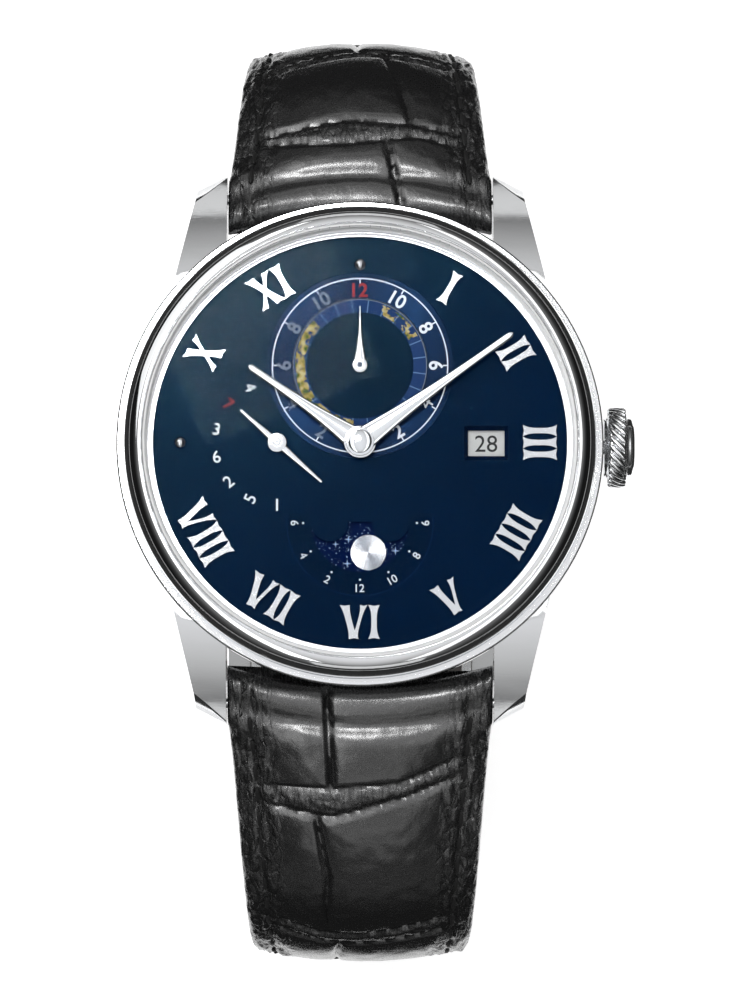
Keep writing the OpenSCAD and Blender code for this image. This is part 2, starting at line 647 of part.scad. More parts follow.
module crown_wheel() color("#c2c5c9") head() spot(crown_wheel_c) difference() {
    union() {
        gear(crown_wheel_n, ratchet_m, ratchet_mesh, bridge_bot - 0.28, bridge_bot - 0.02);
        disc(face_r + 0.2, bridge_bot - 0.2, -5.1);
        for (i = [0 : crown_wheel_n - 1]) {
            rotate([0, 0, (i + 0.5) * 360 / crown_wheel_n]) translate([face_r - 0.35, -0.09, -5.2])
                cube([0.5, 0.18, 0.32]);
        }
    }
    disc(post_r + slop, bridge_bot - 1, 0);
}
module winding_pinion() color("#a8acb0") head() difference() {
    translate([0, 0, stem_z]) rotate([0, 90, 0]) gear(face_pinion_n, face_m, 0, pinion_x, pinion_x +
        pinion_len);
    across(pinion_x - 1, pinion_x + 3, stem_r + slop);
}

edge_r = plate_r - 0.4;
feet_in = plate_r - 2.6;
module bridge(outline, feet_in, clear_c, clear_r) {
    intersection() {
        disc(edge_r, bridge_bot, plate_bot);
        union() {
            slab(outline, bridge_bot, bridge_top);
            difference() {
                slab(outline, bridge_top, plate_bot);
                disc(feet_in, bridge_top - 1, 0);
                spot(clear_c) disc(clear_r, bridge_top - 1, 0);
            }
        }
    }
}
module jewel_seat(c) {
    spot(c) {
        disc(jewel_r, bridge_bot - 1, bridge_bot + 0.5);
        disc(arbor_r + 0.07, bridge_bot - 1, 0);
    }
}
module barrel_bridge() color("#c4c2bb") head() difference() {
    bridge([[-plate_r, 3.4], [-3, 1.6], [-2.6, -2.4], [3.4, -3.7], [plate_r, -3.7], [plate_r, plate_r],
        [-plate_r, plate_r]], feet_in, barrel_c, barrel_r + 0.4);
    spot(barrel_c) disc(0.7 + slop, bridge_bot - 1, 0);
    spot(crown_wheel_c) disc(face_r + 0.4, bridge_bot - 1, bridge_top + 0.1);
    translate([8, -2.6, bridge_top]) cube([8, 5.2, 3]);
    jewel_seat([0, 0]);
}
module train_bridge() color("#c4c2bb") head() difference() {
    bridge([[-plate_r, 3.1], [-3.3, 1.3], [-2.9, -2.7], [1.4, -3.9], [2.5, -5.9], [2.5, -8.1], [0.8, -9.8],
        [-1, -15], [-plate_r, -plate_r]], feet_in, fourth_c, 4);
    for (c = train_pivots) jewel_seat(c);
}
cock_foot = [12.3, -5.6];
module balance_cock() color("#c4c2bb") head() difference() {
    intersection() {
        disc(edge_r, bridge_bot, plate_bot);
        union() {
            slab([[balance_c.x - 1.1, balance_c.y + 0.7], [cock_foot.x - 1.7, -4.05], [plate_r, -4.05],
                [plate_r, -8],
                [cock_foot.x - 1.2, -7.5], [balance_c.x + 0.6, balance_c.y - 1.2]], bridge_bot, bridge_top);
            spot(balance_c) disc(1.35, bridge_bot, bridge_top);
            difference() {
                slab([[10, -4.05], [plate_r, -4.05], [plate_r, -8], [10, -8]], bridge_top, plate_bot);
                spot(balance_c) disc(balance_r + 0.4, bridge_top - 1, 0);
            }
        }
    }
    jewel_seat(balance_c);
}
module jewels() color("#b3263f") head() for (c = concat(train_pivots, [[0, 0], balance_c])) spot(c)
    ring(jewel_r, pivot_r + slop, bridge_bot, bridge_bot + 0.45);

screws = [[-9.5, 8], [-4, 12.6], [10.5, 8.5], [12.6, -2.2], [-13, 0.6], [-12.6, -5.6], [-6.5, -12], [12.2,
    -5.6]];
module movement_screws() color("#3c5f96") head() for (c = screws) spot(c) difference() {
    disc(0.85, bridge_bot - 0.2, bridge_bot);
    translate([-1, -0.12, bridge_bot - 0.3]) cube([2, 0.24, 0.2]);
}

module center_wheel() color("#c8a24a") head() {
    wheel([0, 0], center_n, center_m, 0, -3.5, -3.25, center_pinion_n, barrel_m, mesh(barrel_a + 180, 0,
        barrel_n, center_pinion_n) , -4.3, -3.6, 5);
    disc(arbor_r, plate_bot - 0.2, minute_hand_z + hand_t - 0.15);
}
module third_wheel() color("#c8a24a") head() wheel(third_c, third_n, third_m, 0, -4.3, -4.05,
    third_pinion_n, center_m, mesh(third_a, 0, center_n, third_pinion_n), -3.6, -3.15, 4);
module fourth_wheel() color("#c8a24a") head() wheel(fourth_c, fourth_n, fourth_m, 0, -4.8, -4.55,
    fourth_pinion_n, third_m, mesh(fourth_a, 0, third_n, fourth_pinion_n), -4.4, -3.95, 4);
module escape_wheel() color("#c2c5c9") head() {
    spot(escape_c) {
        difference() {
            slab([for (i = [0 : escape_n - 1]) each [at([0, 0], escape_r - 0.62, i * 24 + 4),
                at([0, 0], escape_r, i * 24 + 12), at([0, 0], escape_r - 0.04, i * 24 + 15),
                at([0, 0], escape_r - 0.5, i * 24 + 13), at([0, 0], escape_r - 0.65, i * 24 + 17)]], -4.1,
                    -3.85);
            disc(escape_r - 0.95, -5, -3);
        }
        for (i = [0 : 3]) rotate([0, 0, i * 90]) translate([0, -0.13, -4.1]) cube([escape_r - 0.9, 0.26,
            0.25]);
        disc(0.55, -4.1, -3.85);
        gear(escape_pinion_n, fourth_m, mesh(escape_a, 0, fourth_n, escape_pinion_n), -4.9, -4.4);
        disc(arbor_r, -5.15, plate_bot - 0.1);
        disc(pivot_r, bridge_bot + 0.1, plate_bot + 0.8);
    }
}
// The fork's arms carry a pallet on each side of the escape wheel, and its horns reach to the balance staff.
fork_len = balance_c.x - pallet_c.x - 1.15;
module pallet_fork() color("#c2c5c9") head() spot(pallet_c) {
    slab(concat(arc([-pallet_reach, 0], escape_r + 0.18, 42, -42, 12), [[-0.4, -1.85], [0.05, -0.5], [0.3,
        -0.28],
        [fork_len - 0.7, -0.16], [fork_len - 0.5, -0.5], [fork_len, -0.5], [fork_len, -0.28], [fork_len -
            0.35, -0.22],
        [fork_len - 0.35, 0.22], [fork_len, 0.28], [fork_len, 0.5], [fork_len - 0.5, 0.5], [fork_len - 0.7,
            0.16], [0.3, 0.28], [0.05, 0.5], [-0.4, 1.85]]), -4.1, -3.85);
    disc(pivot_r, bridge_bot + 0.1, plate_bot + 0.8);
}
module balance_wheel() color("#cbb26a") head() spot(balance_c) {
    ring(balance_r, balance_r - 0.5, -4.55, -4.18);
    translate([0, 0, -4.5]) linear_extrude(0.25) {
        circle(r = 0.75);
        for (i = [0 : 2]) rotate(30 + i * 120) translate([0, -0.22]) square([balance_r - 0.4, 0.44]);
    }
    disc(0.85, -3.72, -3.55);
    disc(arbor_r, -5.1, -3.4);
    disc(pivot_r, bridge_bot + 0.1, plate_bot + 0.8);
}
// The balance spring is an Archimedean spiral from the collet to the stud.
spring_turns = 6;
spring_r0 = arbor_r + 0.08;
spring_r1 = 2.2;
function coil(w) = [for (i = [0 : 24 * spring_turns]) let (t = i / (24 * spring_turns))
    at([0, 0], spring_r0 + (spring_r1 - spring_r0) * t + w, i * 15)];
module hairspring() color("#6d7fb0") head() spot(balance_c) {
    inner = coil(0);
    outer = coil(0.09);
    slab(concat(outer, [for (i = [len(inner) - 1 : -1 : 0]) inner[i]]), -4.95, -4.75);
    translate([spring_r1 - 0.05, -0.15, bridge_top]) cube([0.35, 0.3, 0.25]);
}

rotor_z0 = bridge_bot - 0.4;
rotor_z1 = rotor_z0 - 0.3;
module half_ring(ro, ri, z0, z1) {
    difference() {
        ring(ro, ri, z0, z1);
        translate([-2 * ro, 0, z0 - 1]) cube([4 * ro, 2 * ro, z1 - z0 + 2]);
    }
}
module rotor() color("#c9ccd0") head() rotate([0, 0, 25]) {
    difference() {
        union() {
            half_ring(rotor_r - 2, 3, rotor_z1, rotor_z0);
            ring(3.2, 1.8, rotor_z1, rotor_z0);
        }
        for (a = [-150, -120, -90, -60, -30]) rotate([0, 0, a]) translate([6.6, 0, 0])
            disc(1.3, rotor_z1 - 1, 0, $fn = 48);
        disc(1.8, rotor_z1 - 1, 0);
    }
}
module rotor_weight() color("#b08d3e") head() rotate([0, 0, 25]) half_ring(rotor_r, rotor_r - 2, rotor_z0 -
    weight_t, rotor_z0);
module rotor_bearing() color("#a8acb0") head() {
    disc(1.8 - 0.04, rotor_z1 - 0.05, rotor_z0 + 0.02);
    disc(1.1, rotor_z0, bridge_bot);
}

/* Strap */
function bez(p, t) = pow(1 - t, 3) * p[0] + 3 * pow(1 - t, 2) * t * p[1] + 3 * (1 - t) * t * t * p[2]
    + pow(t, 3) * p[3];
keeper_gap = 0.2;
low_z = keeper_t + keeper_gap + thin_t / 2;
short_z = low_z + thin_t + 0.1;
front_z = front_t + 0.15 + thin_t / 2;
pivot_y = -buckle_back;
run_y = pivot_y + 17;
free_y = keeper_w + 3.4;
bar_z = loop_h;
lean = [6.6, 2.4];
short_curve = [for (i = [0 : 9]) bez([[bar_y, bar_z], [bar_y + lean.x, bar_z - lean.y], [reach_12, 36],
    [reach_12, 26.5]], i / 9)];
short_turn = [for (i = [1 : 12]) bez([[reach_12, 26.5], [reach_12, 13.5], [run_y + 12, short_z],
    [run_y, short_z]], i / 12)];
short_path = concat([for (d = [1.5, 1.3, 0.8]) [bar_y - d, bar_z + d * lean.y / lean.x]],
    short_curve, short_turn, [for (y = [13, 8, 3.2, 1.6, 0, -0.7, -1.1]) [pivot_y + y, short_z]]);
long_curve = [for (i = [0 : 9]) bez([[-bar_y, bar_z], [-bar_y - lean.x, bar_z - lean.y], [-reach_6, 36],
    [-reach_6, 25.5]], i / 9)];
long_turn = [for (i = [1 : 12]) bez([[-reach_6, 25.5], [-reach_6, 13.5], [pivot_y - 26, front_z],
    [pivot_y - 16, front_z]], i / 12)];
tail = [[-13, front_z], [-9.5, front_z - 0.02], [-6, (front_z + low_z) / 2 + 0.1], [-3, low_z + 0.08],
    for (y = [0, 6, 13, 16.5, 18.4, 19.4, 19.9]) [y, low_z]];
long_path = concat([for (d = [1.5, 1.3, 0.8]) [-bar_y + d, bar_z + d * lean.y / lean.x]],
    long_curve, long_turn, [for (q = tail) [pivot_y + q.x, q.y]]);

function run_to(p, k) = k <= 0 ? 0 : norm(p[k] - p[k - 1]) + run_to(p, k - 1);
// Unit direction along a path at one of its points.
function dir(p, k) = let (a = p[max(0, k - 1)], b = p[min(len(p) - 1, k + 1)]) (b - a) / norm(b - a);
function round_end(d, r) = sqrt(max(0.02, 1 - pow(max(0, 1 - d / r), 2)));
fold_r = 1.5;
fold_t = 3;
// Thickness at a distance s from the lug end and e from the other: a fold round the bar, then the padding.
function thick(s, e) = let (pad = thin_t + (pad_t - thin_t) * max(0, min(1, (46 - s) / 34)),
    grown = min(1, max(0, (s - fold_r) / 3))) (fold_t + (pad - fold_t) * grown) * round_end(s, fold_r)
    * round_end(e, fold_r * 0.7);
function width(s) = strap_w - 0.3 - (strap_w - buckle_w - 0.3) * pow(min(1, max(0, s - 3) / 30), 0.8);
// The stitched edge is as thick as the fold beside the bar, and thins out behind it.
function edge_at(s) = edge_t + (fold_t - edge_t) * max(0, min(1, (6 - s) / 3.5));
crown_u = [-1, -0.93, -0.8, -0.5, 0, 0.5, 0.8, 0.93, 1];
function crown_of(u) = pow(max(0, 1 - pow(abs(u), 2.6)), 0.9);
// Where a point of the strap lies: u across it, v out of it, d along it and n the outward normal.
function place(p, d, n, s, u, v, w) = let (q = p + n * v - d * ear * pow(u, 2) * max(0, 1 - s / 3))
    [u * w / 2, q.x, q.y];
// One ring of points round the strap at each point of a path: its inner side, then its outer side back again.
function rings_of(p, side, tip, lining) = let (total = run_to(p, len(p) - 1)) [for (k = [0 : len(p) - 1])
    let (s = run_to(p, k), e = total - s, d = dir(p, k), n = [-d.y, d.x] * side, t = thick(s, e),
        w = width(s) * (tip > 0 ? round_end(e, tip) : 1), lined = s > 2 && e > 3,
        low = (lining || !lined ? 0 : lining_t) - t / 2, edge = min(t, edge_at(s)))
    if (!lining || lined) concat([for (u = crown_u) place(p[k], d, n, s, u, low, w)],
        [for (i = [len(crown_u) - 1 : -1 : 0]) let (u = crown_u[i])
            place(p[k], d, n, s, u, (lining ? lining_t : edge + (t - edge) * crown_of(u)) - t / 2, w)])];
module loft(rings, flip) {
    m = len(rings[0]);
    n = len(rings);
    last = (n - 1) * m;
    ends = [for (i = [0 : m / 2 - 2]) let (a = i + 1, b = m - 2 - i, c = m - 1 - i)
        each [[i, b, a], [i, c, b], [last + i, last + a, last + b], [last + i, last + b, last + c]]];
    sides = [for (j = [0 : n - 2]) for (i = [0 : m - 1]) let (a = j * m + i, b = j * m + (i + 1) % m)
        each [[a, b, a + m], [b, b + m, a + m]]];
    polyhedron([for (r = rings) each r], [for (f = concat(ends, sides)) flip ? [f[2], f[1], f[0]] : f],
        convexity = 6);
}
module bar(y, z, r, half) { translate([-half, y, z]) rotate([0, 90, 0]) cylinder(r = r, h = 2 * half, $fn =
    48); }

hole_r = 1;
pin_y = pivot_y - 4;
module strap_holes() {
    for (i = [-2, -1, 1, 2]) translate([0, pin_y + i * hole_pitch, -1])
        cylinder(r = hole_r, h = low_z + 3.5, $fn = 32);
    for (d = [-0.6, 0.6]) translate([0, pin_y + d, -1]) cylinder(r = hole_r, h = low_z + 3.5, $fn = 32);
    translate([-hole_r, pin_y - 0.6, -1]) cube([2 * hole_r, 1.2, low_z + 3.5]);
}
module strap_12_leather() color("#1c1c1e") difference() {
    loft(rings_of(short_path, 1, 0, false), false);
    bar(bar_y, bar_z, bar_d / 2 + slop, case_r);
    bar(pivot_y, short_z, bar_d / 2 + slop, case_r);
    translate([-tongue_w / 2 - 0.3, pivot_y - 3, short_z - 3]) cube([tongue_w + 0.6, 5, 6]);
}
module strap_12_lining() color("#2b2523") loft(rings_of(short_path, 1, 0, true), false);
module strap_6_leather() color("#1c1c1e") difference() {
    loft(rings_of(long_path, -1, 7, false), true);
    bar(-bar_y, bar_z, bar_d / 2 + slop, case_r);
    strap_holes();
}
module strap_6_lining() color("#2b2523") difference() {
    loft(rings_of(long_path, -1, 7, true), true);
    strap_holes();
}
module lug_spring_bars() color("#c5c8cc") for (s = [-1, 1]) {
    bar(s * bar_y, bar_z, bar_d / 2, strap_w / 2 - 0.1);
    bar(s * bar_y, bar_z, 0.42, strap_w / 2 + 1.2);
}

/* Buckle */
arm_in = buckle_w / 2 + 0.9;
notch_t = 1.15;
module side_cut(pts, x0, x1) { translate([x0, 0, 0]) rotate([90, 0, 90]) linear_extrude(x1 - x0)
    polygon(pts); }
front_pts = [[-buckle_len + 0.4, 0], [2.4 - buckle_len, 0], [2.6 - buckle_len, front_t / 2], [2.3 -
    buckle_len,
    front_t], [0.5 - buckle_len, front_t], [-buckle_len, front_t * 0.55], [-buckle_len, front_t * 0.3]];
module at_buckle() { translate([0, pivot_y, 0]) children(); }
module buckle_frame() color("#cfd2d5") at_buckle() difference() {
    union() {
        difference() {
            side_cut(front_pts, -arm_in - arm_w, arm_in + arm_w);
            translate([-tongue_w / 2 - 0.3, -buckle_len - 1, -1]) cube([tongue_w + 0.6, 5, notch_t + 1]);
        }
        for (s = [0, 1]) mirror([s, 0, 0]) {
            side_cut([[0.5, short_z - 1.3], [-1, short_z - 1.4], [2.4 - buckle_len, 0], [0.4 - buckle_len,
                0],
                [-buckle_len, front_t * 0.3], [-buckle_len, front_t * 0.55], [0.5 - buckle_len, front_t],
                    [-0.8, short_z + 1.3], [0.5, short_z + 1.3]], arm_in, arm_in + arm_w);
            translate([arm_in, 0.2, short_z]) rotate([0, 90, 0]) cylinder(r = 1.35, h = arm_w);
        }
    }
    bar(0, short_z, bar_d / 2 + 0.05, case_r);
}
module buckle_tongue() color("#cfd2d5") at_buckle() difference() {
    union() {
        bar(0, short_z, bar_d / 2 + 0.4, tongue_w / 2);
        side_cut([[0, short_z + 0.95], [-3.2, short_z + 0.35], [-3.9, short_z - 0.4], [-5.2, low_z - 0.9],
            [-buckle_len + 0.5, 0.98], [-buckle_len, 0.7], [-buckle_len, 0.3], [-buckle_len + 0.5,
            0.98 - tongue_t], [-5.5, low_z - 0.95 - tongue_t], [-4.4, low_z - 0.9], [-3.2, short_z - 0.85 +
                0.2], [0, short_z - 0.9]], -tongue_w / 2, tongue_w / 2);
    }
    bar(0, short_z, bar_d / 2 + 0.05, 5);
}
module buckle_bar() color("#b5b8bc") bar(pivot_y, short_z, bar_d / 2, arm_in + arm_w - 0.1);

keeper_top = short_z + thin_t / 2;
module keeper(y, side_gap, top_gap) {
    w = buckle_w / 2 + side_gap;
    out = w + keeper_t;
    h = keeper_top + top_gap + keeper_t;
    r = 1.2;
    translate([0, y + keeper_w / 2, 0]) rotate([90, 0, 0]) linear_extrude(keeper_w) difference() {
        union() {
            translate([-out, r]) square([2 * out, h - 2 * r]);
            translate([r - out, 0]) square([2 * (out - r), h]);
            for (s = [-1, 1], z = [r, h - r]) translate([s * (out - r), z]) circle(r = r, $fn = 32);
        }
        translate([-w, keeper_t]) square([2 * w, h - 2 * keeper_t]);
    }
}
module fixed_keeper() color("#1c1c1e") keeper(0, 0.15, 0);
module free_keeper() color("#1c1c1e") keeper(free_y, 0.2, 0.15);

mid_case();
bezel();
crystal();
crystal_gasket();
flange_ring();
caseback_ring();
caseback_crystal();
caseback_gasket();
crown_tube();
movement_holder();
dial();
hour_numerals();
hour_balls();
scale_ring_24h();
date_window_frame();
hour_hand();
minute_hand();
hand_cap();
world_hand();
weekday_hand();
weekday_star();
map_ring();
date_ring();
moon_disc();
moons();
hour_wheel();
cannon_pinion();
minute_wheel();
main_plate();
barrel();
barrel_bridge();
ratchet_wheel();
crown_wheel();
winding_pinion();
winding_stem();
crown();
train_bridge();
center_wheel();
third_wheel();
fourth_wheel();
escape_wheel();
pallet_fork();
balance_wheel();
hairspring();
balance_cock();
rotor();
rotor_weight();
rotor_bearing();
movement_screws();
jewels();
strap_12_leather();
strap_12_lining();
strap_6_leather();
strap_6_lining();
lug_spring_bars();
buckle_frame();
buckle_tongue();
buckle_bar();
fixed_keeper();
free_keeper();
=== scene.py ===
import json
import math

import bmesh
import bpy
import numpy as np
from mathutils import Matrix, Vector, noise


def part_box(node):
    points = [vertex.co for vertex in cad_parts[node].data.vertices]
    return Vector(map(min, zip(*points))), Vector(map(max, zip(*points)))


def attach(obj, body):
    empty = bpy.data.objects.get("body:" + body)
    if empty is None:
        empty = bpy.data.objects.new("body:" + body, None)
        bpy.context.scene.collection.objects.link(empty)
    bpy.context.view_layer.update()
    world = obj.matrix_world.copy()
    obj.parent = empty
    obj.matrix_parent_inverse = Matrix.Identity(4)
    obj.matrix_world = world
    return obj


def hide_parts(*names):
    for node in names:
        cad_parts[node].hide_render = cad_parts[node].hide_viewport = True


bl_info = {
    "name": "Calendar Wristwatch",
    "version": (1, 0, 0),
    "blender": (4, 5, 0),
    "location": "View3D > Sidebar > Watch",
    "description": "Dresses the packed solids of a world-time wristwatch in their finishes",
    "category": "Object",
}

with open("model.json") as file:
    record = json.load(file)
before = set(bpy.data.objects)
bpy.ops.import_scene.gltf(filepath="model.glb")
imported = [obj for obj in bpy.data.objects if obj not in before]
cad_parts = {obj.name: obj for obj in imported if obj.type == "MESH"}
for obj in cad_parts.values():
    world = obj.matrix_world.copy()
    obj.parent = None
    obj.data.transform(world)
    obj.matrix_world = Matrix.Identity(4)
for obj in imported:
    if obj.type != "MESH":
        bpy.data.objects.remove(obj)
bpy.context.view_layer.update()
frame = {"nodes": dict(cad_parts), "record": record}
NODES = frame["nodes"]
BODY_OF = {node: body for body, nodes in frame["record"]["behaviour"]["bodies"].items() for node in nodes}

MM = 0.001
DIAL_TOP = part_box("dial")[1].z / MM
CROWN_DROP = 3.75
CASE_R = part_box("mid_case")[1].x / MM
SEGMENTS = 288
SAME_PLACE = 1e-7
SOFT_ANGLE = 32.0


def having(thing, **values):
    """A thing with its properties set."""
    for key, value in values.items():
        setattr(thing, key, value)
    return thing


# Colours and finishes.

def linear(red, green, blue):
    """The linear colour of a screen colour given from 0 to 255."""
    return tuple(c / 12.92 if c <= 0.04045 else ((c + 0.055) / 1.055) ** 2.4
                 for c in (red / 255, green / 255, blue / 255))


def shade(color, share):
    """A colour made darker or brighter by a share."""
    return tuple(min(1.0, c * share) for c in color)


class Finish:
    """A procedural material built round one Principled shader, on object coordinates in millimetres."""

    def __init__(self, name, color, metallic=0.0, roughness=0.5, **constants):
        self.material = bpy.data.materials.new(name)
        self.material.use_nodes = True
        self.tree = self.material.node_tree
        self.shader = self.tree.nodes["Principled BSDF"]
        self.fill(self.shader, {"Base Color": color, "Metallic": metallic, "Roughness": roughness})
        self.fill(self.shader, {key.replace("_", " "): value for key, value in constants.items()})
        place = self.add("ShaderNodeTexCoord").outputs["Object"]
        self.millimetres = self.math("MULTIPLY", place, (1000, 1000, 1000), vector=True)

    def fill(self, node, values):
        for key, value in values.items():
            socket = node.inputs[key]
            if isinstance(value, bpy.types.NodeSocket):
                self.tree.links.new(value, socket)
            elif isinstance(value, (tuple, list)) and len(value) == 3 and socket.type == "RGBA":
                socket.default_value = (*value, 1)
            else:
                socket.default_value = value

    def add(self, kind, values=None, **settings):
        node = having(self.tree.nodes.new(kind), **settings)
        self.fill(node, values or {})
        return node

    def done(self, values):
        """The material, once its shader has the last of its values."""
        self.fill(self.shader, values)
        return self.material

    def math(self, operation, first, second=0.0, vector=False):
        kind = "ShaderNodeVectorMath" if vector else "ShaderNodeMath"
        return self.add(kind, {0: first, 1: second}, operation=operation).outputs[0]

    def far(self, x, y):
        """How far a point is from the middle."""
        return self.math("SQRT", self.math("ADD", self.math("MULTIPLY", x, x), self.math("MULTIPLY", y, y)))

    def parts(self, place):
        """The X, Y and Z of coordinates."""
        return self.add("ShaderNodeSeparateXYZ", {"Vector": place}).outputs

    def cells(self, place, scale, randomness, feature="F1"):
        """Distances in a field of cells, to their middles or to their edges."""
        return self.add("ShaderNodeTexVoronoi", {"Vector": place, "Scale": scale, "Randomness": randomness},
                        feature=feature).outputs["Distance"]

    def ringed(self, radius):
        """Coordinates that only change with the radius, for marks that run in circles."""
        return self.add("ShaderNodeCombineXYZ", {"X": radius}).outputs[0]

    def placed(self, centre=(0, 0, 0), turn=0.0, stretch=(1, 1, 1)):
        """Millimetre coordinates from a centre, turned about Z and stretched."""
        node = self.add("ShaderNodeMapping", {"Vector": self.millimetres, "Location": [-c for c in centre]})
        if turn == 0.0 and stretch == (1, 1, 1):
            return node.outputs[0]
        return self.add("ShaderNodeMapping", {"Vector": node.outputs[0], "Rotation": (0, 0, turn),
                                              "Scale": stretch}).outputs[0]

    def noise(self, size, detail=3.0, roughness=0.5, place=None, distortion=0.0):
        """Noise whose features are about size millimetres across."""
        return self.add("ShaderNodeTexNoise", {"Vector": place or self.millimetres, "Scale": 1 / size,
                                               "Detail": detail, "Roughness": roughness,
                                               "Distortion": distortion}).outputs["Fac"]

    def ramp(self, factor, stops):
        node = self.add("ShaderNodeValToRGB", {"Fac": factor})
        while len(node.color_ramp.elements) < len(stops):
            node.color_ramp.elements.new(0.5)
        for element, (position, color) in zip(node.color_ramp.elements, stops):
            element.position = position
            element.color = (*(color if isinstance(color, tuple) else (color,) * 3), 1)
        return node.outputs["Color"]

    def between(self, factor, low, high):
        """A number that runs from low to high with a factor from 0 to 1."""
        return self.add("ShaderNodeMapRange", {"Value": factor, "To Min": low, "To Max": high}).outputs[0]

    def blend(self, factor, first, second):
        return self.add("ShaderNodeMix", {0: factor, 6: first, 7: second}, data_type="RGBA").outputs[2]

    def bump(self, height, depth, strength=1.0, under=None):
        """Raises the surface by depth millimetres where height is 1."""
        values = {"Height": height, "Distance": depth * MM, "Strength": strength}
        if under is not None:
            values["Normal"] = under
        return self.add("ShaderNodeBump", values).outputs[0]

    def radius_and_angle(self, centre):
        """Distance from a centre in millimetres, and the turn about it from 0 to 1, clockwise from 12."""
        across, up, _ = self.parts(self.placed(centre))
        angle = self.math("ARCTAN2", across, up)
        return self.far(across, up), self.math("FRACT", self.math("DIVIDE", angle, 2 * math.pi))


def polished(name, color, roughness=0.07, scratches=0.004):
    """Mirror-polished steel with the faint hairlines that wear leaves."""
    steel = Finish(name, color, 1.0, roughness)
    lines = steel.noise(0.05, 2.0, 0.6, steel.placed(turn=0.4, stretch=(0.05, 1, 1)))
    haze = steel.noise(3.0, 3.0, 0.6)
    return steel.done({"Roughness": steel.between(haze, roughness * 0.6, roughness * 1.6),
                       "Normal": steel.bump(lines, scratches, 0.5)})


def brushed(name, color, roughness=0.26, centre=None, depth=0.006):
    """Steel brushed along one direction, or in circles round a centre."""
    steel = Finish(name, color, 1.0, roughness)
    if centre is None:
        place = steel.placed(stretch=(0.02, 1, 0.2))
    else:
        place = steel.ringed(steel.radius_and_angle(centre)[0])
    grain = steel.noise(0.06, 4.0, 0.65, place)
    tone = steel.noise(0.4, 3.0, 0.6, place)
    return steel.done({"Base Color": steel.blend(tone, shade(color, 0.8), color),
                       "Roughness": steel.between(grain, roughness * 0.75, roughness * 1.3),
                       "Normal": steel.bump(grain, depth, 0.7)})


def printed(name, color):
    """Pad-printed ink, very slightly uneven."""
    ink = Finish(name, color, 0.0, 0.55, Specular_IOR_Level=0.3)
    speck = ink.noise(0.12, 2.0)
    return ink.done({"Base Color": ink.blend(speck, shade(color, 0.86), color),
                     "Normal": ink.bump(speck, 0.004, 0.5)})


def enamel(name, color, sheen_color, roughness=0.13):
    """The dial's satin lacquer over metal, with a fine grain."""
    lacquer = Finish(name, color, 0.0, roughness, Specular_IOR_Level=0.038, Specular_Tint=(0.3, 0.75, 1.0, 1.0))
    grain = lacquer.noise(0.05, 2.0, 0.7)
    cloud = lacquer.noise(6.0, 2.0, 0.5)
    return lacquer.done({"Base Color": lacquer.blend(cloud, color, sheen_color),
                         "Roughness": lacquer.between(grain, roughness * 0.85, roughness * 1.15),
                         "Normal": lacquer.bump(grain, 0.003, 0.5)})


def spun(name, color, centre, metallic=0.7, roughness=0.28):
    """Metal turned in fine circles, with a painted highlight: the base colour is lighter in two fans, where turned
    metal catches light.
    """
    disc = Finish(name, color, metallic, roughness, Anisotropic=0.6, Specular_IOR_Level=0.05)
    radius, angle = disc.radius_and_angle(centre)
    rings = disc.noise(0.09, 3.0, 0.7, disc.ringed(radius))
    # Painted highlight: two fans about the centre are painted brighter into the base colour.
    fans = disc.math("ABSOLUTE", disc.math("SINE", disc.math("MULTIPLY", angle, 4 * math.pi)))
    tone = disc.math("MULTIPLY", disc.math("POWER", fans, 3.0), 0.55)
    return disc.done({"Base Color": disc.blend(tone, color, shade(color, 2.3)),
                      "Normal": disc.bump(rings, 0.008, 0.8)})


def leather(name, color, grain, depth, roughness, coat):
    """Leather with its pores and fine creases. The strap's own creases are in its mesh."""
    hide = Finish(name, color, 0.0, roughness, Coat_Weight=coat, Coat_Roughness=0.25, Specular_IOR_Level=0.5)
    pores = hide.ramp(hide.cells(hide.millimetres, 1 / grain, 0.9, "DISTANCE_TO_EDGE"), [(0.0, 0.0), (0.12, 1.0)])
    wrinkle = hide.noise(grain * 2.2, 4.0, 0.62, distortion=0.6)
    wear = hide.noise(6.0, 4.0, 0.6)
    pale = tuple(min(1.0, c * 2.1 + 0.004) for c in color)
    fine = hide.bump(pores, depth * 0.45, 0.6)
    return hide.done({"Base Color": hide.blend(wear, color, pale),
                      "Roughness": hide.between(wrinkle, roughness * 0.75, roughness * 1.35),
                      "Normal": hide.bump(wrinkle, depth, 0.7, under=fine)})


def hide_of_strap(name, color):
    """The strap's satin hide: smooth grained scales in the middle and crumpled folds along the edges."""
    hide = Finish(name, color, 0.0, 0.3, Specular_IOR_Level=1.0, Coat_Weight=0.6, Coat_Roughness=0.24, Coat_IOR=1.9)
    margin = hide.add("ShaderNodeAttribute", attribute_name="margin").outputs["Fac"]
    along = hide.add("ShaderNodeAttribute", attribute_name="flat_place").outputs["Vector"]
    drawn = hide.add("ShaderNodeMapping", {"Vector": along, "Scale": (1, 0.38, 1)}).outputs[0]
    folds = hide.noise(0.55, 5.0, 0.68, drawn, distortion=1.6)
    cracks = hide.cells(drawn, 1.9, 1.0, "DISTANCE_TO_EDGE")
    crumpled = hide.blend(0.35, folds, hide.ramp(cracks, [(0.0, 0.0), (0.14, 1.0)]))
    grain = hide.noise(0.16, 3.0, 0.65, along)
    wrinkles = hide.noise(0.8, 4.0, 0.6, along, distortion=0.8)
    wear = hide.noise(5.0, 3.0, 0.6, along)
    broad = hide.bump(hide.blend(margin, hide.blend(0.2, (0.5, 0.5, 0.5), wrinkles), crumpled), 0.3, 0.85)
    return hide.done({"Base Color": hide.blend(wear, color, shade(color, 2.2)),
                      "Roughness": hide.between(grain, 0.2, 0.34),
                      "Normal": hide.bump(grain, 0.022, 0.5, under=broad)})


# Meshes.

